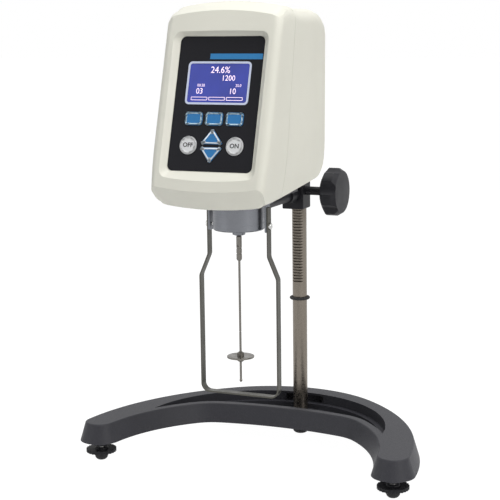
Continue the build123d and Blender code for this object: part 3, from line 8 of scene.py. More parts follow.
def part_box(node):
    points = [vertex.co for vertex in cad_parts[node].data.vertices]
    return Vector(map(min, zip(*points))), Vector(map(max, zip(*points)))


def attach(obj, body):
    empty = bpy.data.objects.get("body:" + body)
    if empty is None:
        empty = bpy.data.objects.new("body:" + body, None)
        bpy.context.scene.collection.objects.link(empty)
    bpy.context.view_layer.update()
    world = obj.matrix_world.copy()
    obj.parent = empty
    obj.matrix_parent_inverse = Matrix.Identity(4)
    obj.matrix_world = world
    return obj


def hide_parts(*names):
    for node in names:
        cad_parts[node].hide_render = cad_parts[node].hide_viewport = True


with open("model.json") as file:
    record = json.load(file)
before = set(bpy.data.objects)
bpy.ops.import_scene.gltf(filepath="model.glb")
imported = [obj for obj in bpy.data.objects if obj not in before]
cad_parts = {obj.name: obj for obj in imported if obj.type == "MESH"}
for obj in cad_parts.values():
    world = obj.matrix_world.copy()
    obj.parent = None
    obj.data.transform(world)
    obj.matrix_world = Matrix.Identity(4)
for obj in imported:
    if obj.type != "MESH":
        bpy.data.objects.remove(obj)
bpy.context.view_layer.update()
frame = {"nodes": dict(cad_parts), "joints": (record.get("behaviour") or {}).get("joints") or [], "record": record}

MM = 0.001
X_AXIS = Vector((1, 0, 0))
Z_AXIS = Vector((0, 0, 1))
JOINTS = {j["name"]: j for j in frame["joints"]}

# ---------------------------------------------------------------- the view
CAMERA_AT = Vector((0.5492, -1.3878, 0.4611))
CAMERA_AZIMUTH = 23.67
CAMERA_PITCH = 9.67
CAMERA_ROLL = -0.73
CAMERA_LENS = 99.62


def add_camera():
    turn, dip, roll = (math.radians(a) for a in (CAMERA_AZIMUTH, CAMERA_PITCH, CAMERA_ROLL))
    ahead = Vector((-math.sin(turn) * math.cos(dip), math.cos(turn) * math.cos(dip), -math.sin(dip)))
    right = Vector((math.cos(turn), math.sin(turn), 0))
    up = right.cross(ahead)
    side = math.cos(roll) * right + math.sin(roll) * up
    top = math.cos(roll) * up - math.sin(roll) * right
    data = bpy.data.cameras.new("camera")
    data.lens = CAMERA_LENS
    data.sensor_width = 36
    data.clip_end = 50
    camera = bpy.data.objects.new("camera", data)
    basis = Matrix((side, top, -ahead)).transposed().to_4x4()
    camera.matrix_world = Matrix.Translation(CAMERA_AT) @ basis
    bpy.context.scene.collection.objects.link(camera)
    bpy.context.scene.camera = camera


# ---------------------------------------------------------------- material graphs
def srgb(r, g, b):
    """Linear colour of an 8-bit screen colour."""
    def lin(c):
        c /= 255
        return c / 12.92 if c <= 0.04045 else ((c + 0.055) / 1.055) ** 2.4
    return (lin(r), lin(g), lin(b), 1.0)


def shade(colour, factor):
    return tuple(min(1.0, c * factor) for c in colour[:3]) + (1.0,)


class Graph:
    """A material and short ways to add its nodes."""

    def __init__(self, name):
        self.material = bpy.data.materials.new(name)
        self.material.use_nodes = True
        self.tree = self.material.node_tree
        self.shader = self.tree.nodes["Principled BSDF"]
        self.place = self.add("ShaderNodeTexCoord").outputs["Object"]

    def add(self, kind, **settings):
        node = self.tree.nodes.new(kind)
        for key, value in settings.items():
            setattr(node, key, value)
        return node

    def join(self, source, target):
        self.tree.links.new(source, target)

    def put(self, node, **values):
        for key, value in values.items():
            socket = node.inputs[key.replace("_", " ")]
            if isinstance(value, bpy.types.NodeSocket):
                self.join(value, socket)
            else:
                socket.default_value = value
        return node

    def stretched(self, scale, turn=(0, 0, 0)):
        node = self.add("ShaderNodeMapping")
        self.put(node, Vector=self.place, Scale=scale, Rotation=turn)
        return node.outputs["Vector"]

    def noise(self, scale, detail=3.0, rough=0.5, vector=None):
        node = self.add("ShaderNodeTexNoise")
        self.put(node, Vector=vector or self.place, Scale=scale, Detail=detail, Roughness=rough)
        return node.outputs["Fac"]

    def cells(self, scale, feature="F1", vector=None):
        node = self.add("ShaderNodeTexVoronoi", feature=feature)
        self.put(node, Vector=vector or self.place, Scale=scale)
        return node.outputs["Distance"]

    def span(self, value, low, high, start=0.0, end=1.0):
        """value from low..high laid onto start..end."""
        node = self.add("ShaderNodeMapRange")
        self.put(node, Value=value, From_Min=low, From_Max=high, To_Min=start, To_Max=end)
        return node.outputs["Result"]

    def math(self, operation, a, b=0.0):
        node = self.add("ShaderNodeMath", operation=operation)
        for socket, value in zip(node.inputs, (a, b)):
            if isinstance(value, bpy.types.NodeSocket):
                self.join(value, socket)
            else:
                socket.default_value = value
        return node.outputs["Value"]

    def mix(self, factor, a, b):
        node = self.add("ShaderNodeMix", data_type="RGBA")
        for socket, value in ((node.inputs[0], factor), (node.inputs[6], a), (node.inputs[7], b)):
            if isinstance(value, bpy.types.NodeSocket):
                self.join(value, socket)
            else:
                socket.default_value = value
        return node.outputs[2]

    def bump(self, height, distance, strength=1.0, under=None):
        node = self.add("ShaderNodeBump")
        self.put(node, Height=height, Distance=distance, Strength=strength)
        if under is not None:
            self.join(under, node.inputs["Normal"])
        return node.outputs["Normal"]

    def edges(self, radius):
        """1 on sharp edges, 0 on flat stretches."""
        bevel = self.add("ShaderNodeBevel", samples=4)
        bevel.inputs["Radius"].default_value = radius
        flat = self.add("ShaderNodeNewGeometry")
        dot = self.add("ShaderNodeVectorMath", operation="DOT_PRODUCT")
        self.join(bevel.outputs["Normal"], dot.inputs[0])
        self.join(flat.outputs["Normal"], dot.inputs[1])
        return self.span(dot.outputs["Value"], 0.985, 0.80)


def moulding(name, colour, roughness, grain=1100.0, depth=0.05, mottle=0.03, wear=0.0, gloss=0.5):
    """Moulded plastic: fine spark texture, faint mottle, slightly rubbed edges."""
    g = Graph(name)
    broad = g.noise(9.0, 4.0)
    tint = g.mix(g.span(broad, 0.35, 0.65), shade(colour, 1 - mottle), shade(colour, 1 + mottle))
    if wear:
        rubbed = g.math("MULTIPLY", g.edges(0.0008), g.span(g.noise(140.0), 0.4, 0.6, 0.2, wear))
        tint = g.mix(rubbed, tint, shade(colour, 1.9))
    rough = g.span(g.noise(60.0, 5.0), 0.3, 0.7, roughness - 0.05, roughness + 0.06)
    fine = g.math("ADD", g.noise(grain, 2.0), g.math("MULTIPLY", g.cells(grain * 0.8), 0.5))
    g.put(g.shader, Base_Color=tint, Roughness=rough, Normal=g.bump(fine, depth * MM, 0.6))
    g.put(g.shader, Specular_IOR_Level=gloss)
    return g.material


def powder_coat(name, colour, roughness, grain=700.0, depth=0.16, wear=0.3, fleck=0.25, gloss=0.5):
    """Textured coating: pebbled surface, light flecks on the pebbles, paler edges."""
    g = Graph(name)
    pebble = g.cells(grain, "SMOOTH_F1")
    dust = g.noise(grain * 1.7, 4.0, 0.65)
    height = g.math("SUBTRACT", g.math("MULTIPLY", dust, 0.7), pebble)
    tint = g.mix(g.span(dust, 0.42, 0.66, 0.0, fleck), colour, shade(colour, 2.4))
    tint = g.mix(g.span(g.noise(7.0, 3.0), 0.3, 0.7, 0.0, 0.22), tint, shade(colour, 1.35))
    worn = g.math("MULTIPLY", g.edges(0.0012), g.span(g.noise(90.0, 4.0), 0.38, 0.62, 0.15, wear))
    tint = g.mix(worn, tint, shade(colour, 3.2))
    rough = g.span(dust, 0.3, 0.7, roughness - 0.08, roughness + 0.10)
    g.put(g.shader, Base_Color=tint, Roughness=rough, Normal=g.bump(height, depth * MM, 0.8))
    g.put(g.shader, Specular_IOR_Level=gloss)
    return g.material


def metal(name, colour, roughness, grain=(3200, 3200, 60), depth=0.012, streak=0.10, tarnish=0.12):
    """Ground or turned metal: fine lines, streaks of roughness and faint handling marks."""
    g = Graph(name)
    lines = g.noise(1.0, 3.0, 0.6, g.stretched(grain))
    wide = g.noise(1.0, 2.0, 0.5, g.stretched(tuple(s * 0.18 for s in grain)))
    marks = g.noise(35.0, 5.0, 0.6)
    tint = g.mix(g.span(marks, 0.38, 0.68, 0.0, tarnish * 2), colour, shade(colour, 0.72))
    tint = g.mix(g.span(lines, 0.3, 0.7, 0.0, streak * 2), tint, shade(colour, 1.18))
    rough = g.math("ADD", g.span(wide, 0.3, 0.7, roughness - streak, roughness + streak),
                   g.span(marks, 0.4, 0.7, 0.0, 0.10))
    g.put(g.shader, Base_Color=tint, Metallic=1.0, Roughness=rough, Normal=g.bump(lines, depth * MM, 0.7))
    return g.material


def overlay(name, colour, roughness, gloss):
    """Smooth printed overlay with a faint orange peel and dust."""
    g = Graph(name)
    dust = g.noise(800.0, 5.0, 0.7)
    tint = g.mix(g.span(dust, 0.60, 0.78, 0.0, 0.25), colour, shade(colour, 3.0))
    tint = g.mix(g.span(g.noise(12.0), 0.35, 0.65, 0.0, 0.18), tint, shade(colour, 1.6))
    rough = g.span(g.noise(40.0, 5.0), 0.3, 0.7, roughness - 0.06, roughness + 0.08)
    g.put(g.shader, Base_Color=tint, Roughness=rough, Normal=g.bump(g.noise(260.0, 2.0), 0.02 * MM, 0.5))
    g.put(g.shader, Specular_IOR_Level=gloss)
    return g.material


def rubber(name, colour):
    g = Graph(name)
    bloom = g.noise(55.0, 5.0, 0.6)
    tint = g.mix(g.span(bloom, 0.45, 0.75, 0.0, 0.5), colour, shade(colour, 2.2))
    rough = g.span(bloom, 0.3, 0.7, 0.62, 0.82)
    g.put(g.shader, Base_Color=tint, Roughness=rough, Normal=g.bump(g.noise(1500.0, 3.0), 0.03 * MM, 0.7))
    return g.material


def printed(name, colour, roughness=0.45):
    """Screen-printed ink: a slight grain and a soft unevenness."""
    g = Graph(name)
    grain = g.noise(1400.0, 3.0)
    tint = g.mix(g.span(grain, 0.35, 0.65), shade(colour, 0.92), shade(colour, 1.06))
    rough = g.span(g.noise(90.0, 3.0), 0.3, 0.7, roughness - 0.06, roughness + 0.06)
    g.put(g.shader, Base_Color=tint, Roughness=rough, Normal=g.bump(grain, 0.01 * MM, 0.4))
    return g.material


def board(name, colour):
    """Lacquered circuit board with copper tracks and pads under the green."""
    g = Graph(name)
    tracks = g.add("ShaderNodeTexBrick")
    g.put(tracks, Vector=g.stretched((1, 1, 1), (math.radians(90), 0, 0)), Scale=220.0, Mortar_Size=0.03,
          Color1=(0, 0, 0, 1), Color2=(0, 0, 0, 1), Mortar=(1, 1, 1, 1))
    vias = g.span(g.cells(260.0), 0.16, 0.10)
    tint = g.mix(g.math("MULTIPLY", tracks.outputs["Fac"], 0.35), colour, shade(colour, 2.2))
    tint = g.mix(vias, tint, (0.55, 0.45, 0.25, 1))
    rough = g.span(g.noise(70.0), 0.3, 0.7, 0.28, 0.42)
    g.put(g.shader, Base_Color=tint, Roughness=rough, Normal=g.bump(tracks.outputs["Fac"], 0.03 * MM, 0.5))
    return g.material


def screen(name, colour, tilt):
    """Lit blue display: a fine grid of dots, a soft uneven backlight and a glossy front."""
    g = Graph(name)
    flat = g.stretched((1, 1, 1), (tilt, 0, 0))
    parts = g.add("ShaderNodeSeparateXYZ")
    g.join(flat, parts.inputs[0])
    pitch = 2 * math.pi / (0.45 * MM)
    columns = g.math("SINE", g.math("MULTIPLY", parts.outputs["X"], pitch))
    rows = g.math("SINE", g.math("MULTIPLY", parts.outputs["Z"], pitch))
    grid = g.span(g.math("MAXIMUM", columns, rows), 0.7, 1.0, 0.0, 0.30)
    glow = g.span(g.noise(28.0, 2.0), 0.3, 0.7)
    lit = g.mix(glow, shade(colour, 0.85), shade(colour, 1.20))
    lit = g.mix(grid, lit, shade(colour, 0.55))
    g.put(g.shader, Base_Color=lit, Roughness=0.12, Emission_Color=lit, Emission_Strength=0.22)
    g.put(g.shader, Coat_Weight=0.3, Coat_Roughness=0.06)
    return g.material


def fluid(name, colour):
    """Clear glass over a tinted level fluid."""
    g = Graph(name)
    tint = g.mix(g.span(g.noise(90.0), 0.3, 0.7), shade(colour, 0.9), shade(colour, 1.12))
    rough = g.span(g.noise(300.0, 3.0), 0.3, 0.7, 0.04, 0.12)
    g.put(g.shader, Base_Color=tint, Roughness=rough, Transmission_Weight=0.25, Coat_Weight=0.6)
    g.put(g.shader, Coat_Roughness=0.04)
    return g.material


# ---------------------------------------------------------------- looks
OFF_WHITE = srgb(224, 223, 211)
PALE = srgb(222, 223, 224)
CHARCOAL = srgb(45, 45, 50)
BLUE = srgb(28, 112, 172)
BLUE_RIM = srgb(205, 232, 246)
RIM_WHITE = srgb(222, 232, 240)
SCREEN_BLUE = srgb(44, 58, 158)
STRIPE_BLUE = srgb(34, 120, 178)

face_out = -Vector(JOINTS["key_soft_middle_press"]["axis"]).normalized()
face_up = face_out.cross(X_AXIS)
FACE_TILT = math.atan2(face_out.z, -face_out.y)

LOOKS = {
    "housing": moulding("housing", OFF_WHITE, 0.46, grain=1300, depth=0.05, mottle=0.02),
    "casting": powder_coat("casting", CHARCOAL, 0.52, grain=750, depth=0.16, wear=0.35, gloss=0.3),
    # near-black coating, used on the clamp and also on the rod under the head, which it draws dark
    "clamp_black": powder_coat("clamp_black", srgb(26, 26, 30), 0.44, grain=1400, depth=0.05, wear=0.4,
                               fleck=0.10, gloss=0.2),
    "chassis": powder_coat("chassis", srgb(46, 46, 50), 0.45, grain=900, depth=0.08, wear=0.3),
    "knob": moulding("knob", srgb(33, 33, 37), 0.46, grain=1000, depth=0.04, mottle=0.12, wear=0.4,
                     gloss=0.2),
    "black": moulding("black", srgb(28, 28, 31), 0.42, grain=1200, depth=0.03, mottle=0.10, wear=0.3,
                      gloss=0.3),
    "rod_steel": metal("rod_steel", srgb(126, 119, 110), 0.28, grain=(2400, 2400, 5200), streak=0.08),
    "strip_steel": metal("strip_steel", srgb(88, 87, 82), 0.38, grain=(900, 3400, 90), streak=0.10),
    "shaft_steel": metal("shaft_steel", srgb(118, 115, 110), 0.30, grain=(700, 700, 5200)),
    "bright": metal("bright", srgb(202, 202, 200), 0.20, grain=(1800, 1800, 3000), streak=0.06),
    "cup": metal("cup", srgb(120, 122, 127), 0.34, grain=(260, 260, 6200), depth=0.02, streak=0.08),
    "aluminium": metal("aluminium", srgb(180, 182, 186), 0.38, grain=(3000, 260, 260)),
    "brass": metal("brass", srgb(202, 164, 92), 0.28, grain=(300, 300, 4200)),
    "panel": overlay("panel", srgb(27, 27, 31), 0.36, 0.12),
    "key_blue": moulding("key_blue", BLUE, 0.40, grain=1500, depth=0.02, mottle=0.05),
    "key_grey": moulding("key_grey", PALE, 0.42, grain=1500, depth=0.02, mottle=0.02),
    "silver": moulding("silver", srgb(206, 214, 236), 0.34, grain=1600, depth=0.015, mottle=0.02),
    "screen": screen("screen", SCREEN_BLUE, -FACE_TILT),
    "board": board("board", (0.02, 0.16, 0.06, 1)),
    "rubber": rubber("rubber", srgb(28, 28, 30)),
    "nylon": moulding("nylon", srgb(222, 218, 202), 0.50, grain=700, depth=0.03),
    "acetal": moulding("acetal", srgb(232, 232, 226), 0.38, grain=900, depth=0.02),
    "jewel": fluid("jewel", srgb(150, 24, 44)),
    "vial": fluid("vial", srgb(196, 214, 70)),
}

NODE_LOOKS = {
    "housing": ("front_bezel", "rear_cover"),
    "casting": ("base_casting",),
    # the head rod under the head is drawn as dark as the clamp
    "clamp_black": ("clamp_body", "head_rod"),
    "chassis": ("chassis_casting",),
    "knob": ("height_knob", "head_lock_screw", "tension_screw", "levelling_knob_left",
             "levelling_knob_right"),
    "black": ("display_module", "power_inlet", "switch_frame", "power_rocker", "motor"),
    "rod_steel": ("upright_rod",),
    "strip_steel": ("guard_leg",),
    "shaft_steel": ("pinion_shaft", "pivot_shaft", "spindle_hub", "disc_spindle"),
    "bright": ("levelling_stud_left", "levelling_stud_right", "rod_nut", "retaining_ring", "inlet_pins",
               "data_port", "case_screws", "shaft_bearings", "guard_screws", "hairspring"),
    "cup": ("pivot_cup", "level_cup"),
    "aluminium": ("motor_plate", "spacer_posts"),
    "brass": ("drive_shaft", "motor_pinion"),
    "panel": ("keypad_panel",),
    "key_blue": ("key_soft_left", "key_soft_middle", "key_soft_right", "key_arrow_up", "key_arrow_down"),
    "key_grey": ("key_round_left", "key_round_right"),
    "silver": ("display_frame",),
    "screen": ("display_glass",),
    "board": ("switch_board", "main_board"),
    "rubber": ("foot_pad_left", "foot_pad_right", "rear_foot", "rod_stop_ring"),
    "nylon": ("rod_bushes", "tension_insert"),
    "acetal": ("drive_gear",),
    "jewel": ("jewel_bearing",),
    "vial": ("level_glass",),
}


def dress_frame():
    for look, names in NODE_LOOKS.items():
        for name in names:
            mesh = frame["nodes"][name].data
            mesh.materials.clear()
            mesh.materials.append(LOOKS[look])
    bare = sorted(set(frame["nodes"]) - {n for names in NODE_LOOKS.values() for n in names})
    assert not bare, bare


# ---------------------------------------------------------------- pieces
def body_of(node):
    return next(b for b, nodes in frame["record"]["behaviour"]["bodies"].items() if node in nodes)


def piece(name, mesh, look, body, smooth=False):
    """Put a finished mesh in the scene as a piece that rides on a body."""
    mesh.materials.append(look)
    if smooth:
        for polygon in mesh.polygons:
            polygon.use_smooth = True
    thing = bpy.data.objects.new(name, mesh)
    bpy.context.scene.collection.objects.link(thing)
    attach(thing, body)
    return thing


def mesh_from(bm, name):
    bmesh.ops.recalc_face_normals(bm, faces=bm.faces)
    mesh = bpy.data.meshes.new(name)
    bm.to_mesh(mesh)
    bm.free()
    return mesh


def on_face(origin, u, v, d):
    """Point u to the right of, v above and d in front of a point of the tilted face, in metres."""
    return origin + X_AXIS * u + face_up * v + face_out * d


def node_points(node):
    return [v.co.copy() for v in frame["nodes"][node].data.vertices]


def front_outline(node):
    """Outline of a node's front face in its own plane: (centre, [(u, v), ...]) in order round the centre."""
    points = node_points(node)
    ahead = max(p.dot(face_out) for p in points)
    front = [p for p in points if ahead - p.dot(face_out) < 0.02 * MM]
    us = [p.x for p in front]
    vs = [p.dot(face_up) for p in front]
    cu, cv = (min(us) + max(us)) / 2, (min(vs) + max(vs)) / 2
    centre = X_AXIS * cu + face_up * cv + face_out * ahead
    flat = {(round(p.x - cu, 6), round(p.dot(face_up) - cv, 6)) for p in front}
    mean_u = sum(u for u, v in flat) / len(flat)
    mean_v = sum(v for u, v in flat) / len(flat)
    ring = sorted(flat, key=lambda p: math.atan2(p[1] - mean_v, p[0] - mean_u))
    return centre, ring


def inset(ring, amount):
    """Convex outline moved inwards by an amount, negative for outwards."""
    out = []
    count = len(ring)
    for k, (u, v) in enumerate(ring):
        before, after = ring[k - 1], ring[(k + 1) % count]
        first = Vector((u - before[0], v - before[1])).normalized()
        second = Vector((after[0] - u, after[1] - v)).normalized()
        normal = Vector((-(first.y + second.y), first.x + second.x)).normalized()
        lean = max(0.35, normal.dot(Vector((-first.y, first.x))))
        out.append((u + normal.x * amount / lean, v + normal.y * amount / lean))
    return out


def band(origin, outer, inner, low, high):
    """Raised flat band between two outlines with the same number of points."""
    bm = bmesh.new()
    count = len(outer)
    rings = []
    for ring, d in ((outer, low), (outer, high), (inner, high), (inner, low)):
        rings.append([bm.verts.new(on_face(origin, u, v, d)) for u, v in ring])
    for a, b in ((0, 1), (1, 2), (2, 3), (3, 0)):
        for k in range(count):
            n = (k + 1) % count
            bm.faces.new((rings[a][k], rings[a][n], rings[b][n], rings[b][k]))
    return bm


def slab(origin, ring, low, high):
    """Raised plate inside one outline."""
    bm = bmesh.new()
    back = [bm.verts.new(on_face(origin, u, v, low)) for u, v in ring]
    top = [bm.verts.new(on_face(origin, u, v, high)) for u, v in ring]
    count = len(ring)
    for k in range(count):
        n = (k + 1) % count
        bm.faces.new((back[k], back[n], top[n], top[k]))
    bm.faces.new(top)
    bm.faces.new(back[::-1])
    return bm


def rounded_ring(width, height, radius, steps=5):
    """Rounded rectangle round its own centre, anticlockwise."""
    ring = []
    for cu, cv, start in ((1, 1, 0), (-1, 1, 90), (-1, -1, 180), (1, -1, 270)):
        for k in range(steps + 1):
            turn = math.radians(start + 90 * k / steps)
            ring.append((cu * (width / 2 - radius) + radius * math.cos(turn),
                         cv * (height / 2 - radius) + radius * math.sin(turn)))
    return ring


CAP_SHARE = 0.7         # height of the font's capitals, as a share of its size


def lettering(text, origin, height, thickness, shift=(0, 0), squeeze=1.0, bold=0.0):
    """Mesh of a text that lies on the tilted face."""
    curve = bpy.data.curves.new("text", "FONT")
    curve.body = text
    curve.align_x = "CENTER"
    curve.align_y = "CENTER"
    curve.size = height / CAP_SHARE
    curve.extrude = thickness / 2
    curve.resolution_u = 3
    curve.offset = bold
    holder = bpy.data.objects.new("text", curve)
    mesh = bpy.data.meshes.new_from_object(holder)
    basis = Matrix((X_AXIS, face_up, face_out)).transposed().to_4x4()
    place = Matrix.Translation(on_face(origin, shift[0], shift[1], thickness / 2))
    mesh.transform(place @ basis @ Matrix.Diagonal((squeeze, 1, 1, 1)))
    bpy.data.objects.remove(holder)
    bpy.data.curves.remove(curve)
    return mesh


RIM_W = 1.4 * MM
RIM_EDGE = 0.15 * MM
RIM_H = 0.22 * MM
RIM_ROOT = -0.1 * MM    # the rims reach this far into their keys
ROUND_RIM_OUT = 0.4 * MM
ROUND_RIM_IN = 0.9 * MM
WORD_H = 4.2 * MM
INK_H = 0.12 * MM
INK_BOLD = 0.12 * MM


def dress_keys():
    """Pale rims on the blue keys, and plain words on the two round ones."""
    rim_blue = printed("rim_blue", BLUE_RIM)
    rim_white = printed("rim_white", RIM_WHITE)
    ink = printed("ink_black", srgb(24, 24, 27))
    for node in NODE_LOOKS["key_blue"]:
        centre, ring = front_outline(node)
        bm = band(centre, inset(ring, RIM_EDGE), inset(ring, RIM_EDGE + RIM_W), RIM_ROOT, RIM_H)
        look = rim_white if "arrow" in node else rim_blue
        piece(node + "_rim", mesh_from(bm, node), look, body_of(node), True)
    for node, word in (("key_round_left", "OFF"), ("key_round_right", "ON")):
        centre, ring = front_outline(node)
        bm = band(centre, inset(ring, ROUND_RIM_OUT), inset(ring, ROUND_RIM_IN), RIM_ROOT, INK_H)
        piece(node + "_rim", mesh_from(bm, node), LOOKS["key_grey"], body_of(node), True)
        mesh = lettering(word, centre, WORD_H, INK_H, bold=INK_BOLD)
        piece(node + "_word", mesh, ink, body_of(node))


def dress_display():
    """Readout of plain numbers, and blank menu blocks over the three soft keys."""
    glow = Graph("readout")
    glow.put(glow.shader, Base_Color=srgb(236, 214, 232), Roughness=0.5)
    flicker = glow.mix(glow.span(glow.noise(700.0), 0.3, 0.7), srgb(226, 196, 226), srgb(246, 232, 244))
    glow.put(glow.shader, Emission_Color=flicker, Emission_Strength=0.75)
    centre, ring = front_outline("display_glass")
    lines = (("24.6%", 6.2, (1.0, 12.4)), ("1200", 5.2, (10.0, 4.6)), ("25.0", 2.6, (21.0, -2.4)),
             ("00:30", 2.6, (-17.5, -2.4)), ("03", 5.4, (-18.5, -8.0)), ("10", 5.4, (15.5, -8.0)))
    for k, (text, height, (u, v)) in enumerate(lines):
        mesh = lettering(text, centre, height * MM, 0.08 * MM, (u * MM, v * MM), 0.95)
        piece("readout_%d" % k, mesh, glow.material, body_of("display_glass"))
    block = rounded_ring(16.8 * MM, 3.2 * MM, 0.5 * MM, 2)
    for k, u in enumerate((-18.2, 0.0, 18.2)):
        origin = on_face(centre, u * MM, -15.0 * MM, 0)
        bm = band(origin, block, inset(block, 0.45 * MM), 0, 0.08 * MM)
        mesh = mesh_from(bm, "menu")
        piece("menu_block_%d" % k, mesh, glow.material, body_of("display_glass"))


STRIPE_LEFT = -11.0
STRIPE_RIGHT = 42.6
STRIPE_V = 45.4
STRIPE_H = 5.4


def dress_panel():
    """Blue stripe printed across the panel, above the display."""
    centre, ring = front_outline("keypad_panel")
    origin = on_face(centre, (STRIPE_LEFT + STRIPE_RIGHT) / 2 * MM, STRIPE_V * MM, 0)
    shape = rounded_ring((STRIPE_RIGHT - STRIPE_LEFT) * MM, STRIPE_H * MM, 0.3 * MM, 2)
    bm = slab(origin, shape, 0.0, 0.06 * MM)
    look = printed("stripe", STRIPE_BLUE)
    piece("panel_stripe", mesh_from(bm, "stripe"), look, body_of("keypad_panel"))


def dress_level():
    """Bubble and centring ring of the round level."""
    low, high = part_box("level_glass")
    centre = Vector(((low.x + high.x) / 2, (low.y + high.y) / 2, high.z))
    radius = (high.x - low.x) / 2
    bm = bmesh.new()
    bmesh.ops.create_uvsphere(bm, u_segments=24, v_segments=12, radius=0.32 * radius,
                              matrix=Matrix.Translation(centre) @ Matrix.Diagonal((1, 1, 0.18, 1)))
    piece("level_bubble", mesh_from(bm, "bubble"), fluid("bubble", srgb(238, 244, 214)),
          body_of("level_glass"), True)
    bm = bmesh.new()
    turns = 40
    rows = []
    for r, z in ((0.46, 0.0), (0.46, 0.08), (0.52, 0.08), (0.52, 0.0)):
        rows.append([bm.verts.new(centre + Vector((r * radius * math.cos(2 * math.pi * k / turns),
                                                   r * radius * math.sin(2 * math.pi * k / turns), z * MM)))
                     for k in range(turns)])
    for a, b in zip(rows, rows[1:] + rows[:1]):
        for k in range(turns):
            n = (k + 1) % turns
            bm.faces.new((a[k], a[n], b[n], b[k]))
    piece("level_ring", mesh_from(bm, "ring"), printed("ring_black", srgb(30, 30, 30)),
          body_of("level_glass"), True)


# ---------------------------------------------------------------- the moulded head, in millimetres
HEAD_HALF_W = 59.6      # of the plain head
FLANK_X = 44.0          # half width at which the flanks' taper starts
HEAD_CUTS_X = (0, 12, 24, 34, 42, 46, 49, 51.5, 53.5, 55, 56.5, 57.7, 58.7)
HEAD_CUTS_Y = (-225, -205, -190, -185, -180, -175, -170, -164, -158, -152, -145, -135, -120, -105, -90, -80)
HEAD_CUTS_Z = (283, 286, 289, 293, 297, 302, 308, 316, 326, 340, 440, 447, 452, 455, 458, 461, 464, 466.5,
               469, 471)
WELD = 0.002            # points nearer than this are joined before the cuts
ON_CUT = 0.001          # points nearer to a cut than this lie on it
SHARP_ANGLE = math.radians(24)

# flanks
WIDEST_HALF_W = 59.9
WIDEST_Z = 338.0        # below this the flanks draw in
LOW_TAPER = 0.00145     # by this times the square of the depth below it
FRONT_Y = -235.0        # the front plane's place at FRONT_Z
FRONT_Z = 299.0
FRONT_LEAN = 0.3057     # how far the front plane leans back per millimetre up
REAR_TAPER = 0.030      # half width lost per millimetre behind the front plane

# crown: a front slope and a ridge that meet at the brow
HEAD_TOP_Z = 473.6
BROW_Y = -171.0
FRONT_SLOPE = 0.4316
SLOPE_END_Y = -192.0    # further forward the slope falls no more
REAR_FALL = 0.1096
SLOPE_ARCH = 993        # an arch falls by the square of x over its value
RIDGE_ARCH = 660
PLAIN_ARCH = 320        # of the plain head's front slope
ARCH_FADE_FROM_Y = -135.0
ARCH_FADE_TO_Y = -95.0  # from here back the ridge is level across
CROWN_FOOT_Z = 438.0    # the crown's lift starts here
CROWN_FULL_DEPTH = 2.0  # and is whole this far under the plain crown

# rear corner of the crown, chin, and the corners along both sides
REAR_CORNER_Y = -98.0
REAR_CORNER_MID_Y = -92.0
REAR_CORNER_R = 34.0
REAR_TOP_Z = 465.6
CHIN_Z = 281.0
CHIN_FADE_Z = 302.0     # the chin's arch is gone up here
CHIN_ARCH = 900
SHOULDER_R = 11.0
SHOULDER_GAIN = 2.0     # what its radius gains between the next two places
SHOULDER_FROM_Y = -165.0
SHOULDER_TO_Y = -90.0
LOWER_CORNER_R = 6.5


def eased(value, low, high):
    t = min(1.0, max(0.0, (value - low) / (high - low)))
    return t * t * (3 - 2 * t)


def flank_width(y, z):
    """Half width of the finished head at one place."""
    low = max(0.0, WIDEST_Z - z)
    width = WIDEST_HALF_W - LOW_TAPER * low * low
    return width - REAR_TAPER * max(0.0, y - FRONT_Y - FRONT_LEAN * (z - FRONT_Z))


def corner(a, b, radius):
    """A square corner's point (a, b), from the centre of its rounding, moved onto the rounding."""
    if a <= 0 or b <= 0:
        return a, b
    share = max(a, b) / math.hypot(a, b)
    near = min(1.0, max(a, b) / radius)
    share = 1 + (share - 1) * near
    return a * share, b * share


def crown_height(x, y, arched):
    """Height of the crown, arched as the finished head's or as the plain one's."""
    slope = HEAD_TOP_Z + FRONT_SLOPE * (max(y, SLOPE_END_Y) - BROW_Y)
    ridge = HEAD_TOP_Z - REAR_FALL * max(0.0, y - BROW_Y)
    if arched:
        fade = 1 - eased(y, ARCH_FADE_FROM_Y, ARCH_FADE_TO_Y)
        return min(slope - x * x / SLOPE_ARCH, ridge - fade * x * x / RIDGE_ARCH)
    return min(slope - x * x / PLAIN_ARCH, ridge)


def moulded(p):
    """Where a point of the plain head lies on the moulded one."""
    x, y, z = abs(p.x), p.y, p.z
    plain = crown_height(x, y, False)
    lift = (crown_height(x, y, True) - plain) * eased(z, CROWN_FOOT_Z, plain - CROWN_FULL_DEPTH)
    y += lift * face_up.y
    z += lift * face_up.z
    z += x * x / CHIN_ARCH * (1 - eased(z, CHIN_Z, CHIN_FADE_Z))
    if x > FLANK_X:
        x = FLANK_X + (x - FLANK_X) * (flank_width(y, z) - FLANK_X) / (HEAD_HALF_W - FLANK_X)
    edge = flank_width(y, z)
    top = crown_height(edge, y, True)
    if y > REAR_CORNER_Y:
        behind = max(0.0, y - REAR_CORNER_MID_Y)
        top = REAR_TOP_Z - REAR_CORNER_R + math.sqrt(max(0.0, REAR_CORNER_R ** 2 - behind ** 2))
    radius = SHOULDER_R + SHOULDER_GAIN * eased(y, SHOULDER_FROM_Y, SHOULDER_TO_Y)
    a, b = corner(x - edge + radius, z - top + radius, radius)
    x, z = a + edge - radius, b + top - radius
    low = CHIN_Z + edge * edge / CHIN_ARCH
    radius = LOWER_CORNER_R
    a, b = corner(x - edge + radius, low + radius - z, radius)
    x, z = a + edge - radius, low + radius - b
    return Vector((math.copysign(x, p.x), y, z))


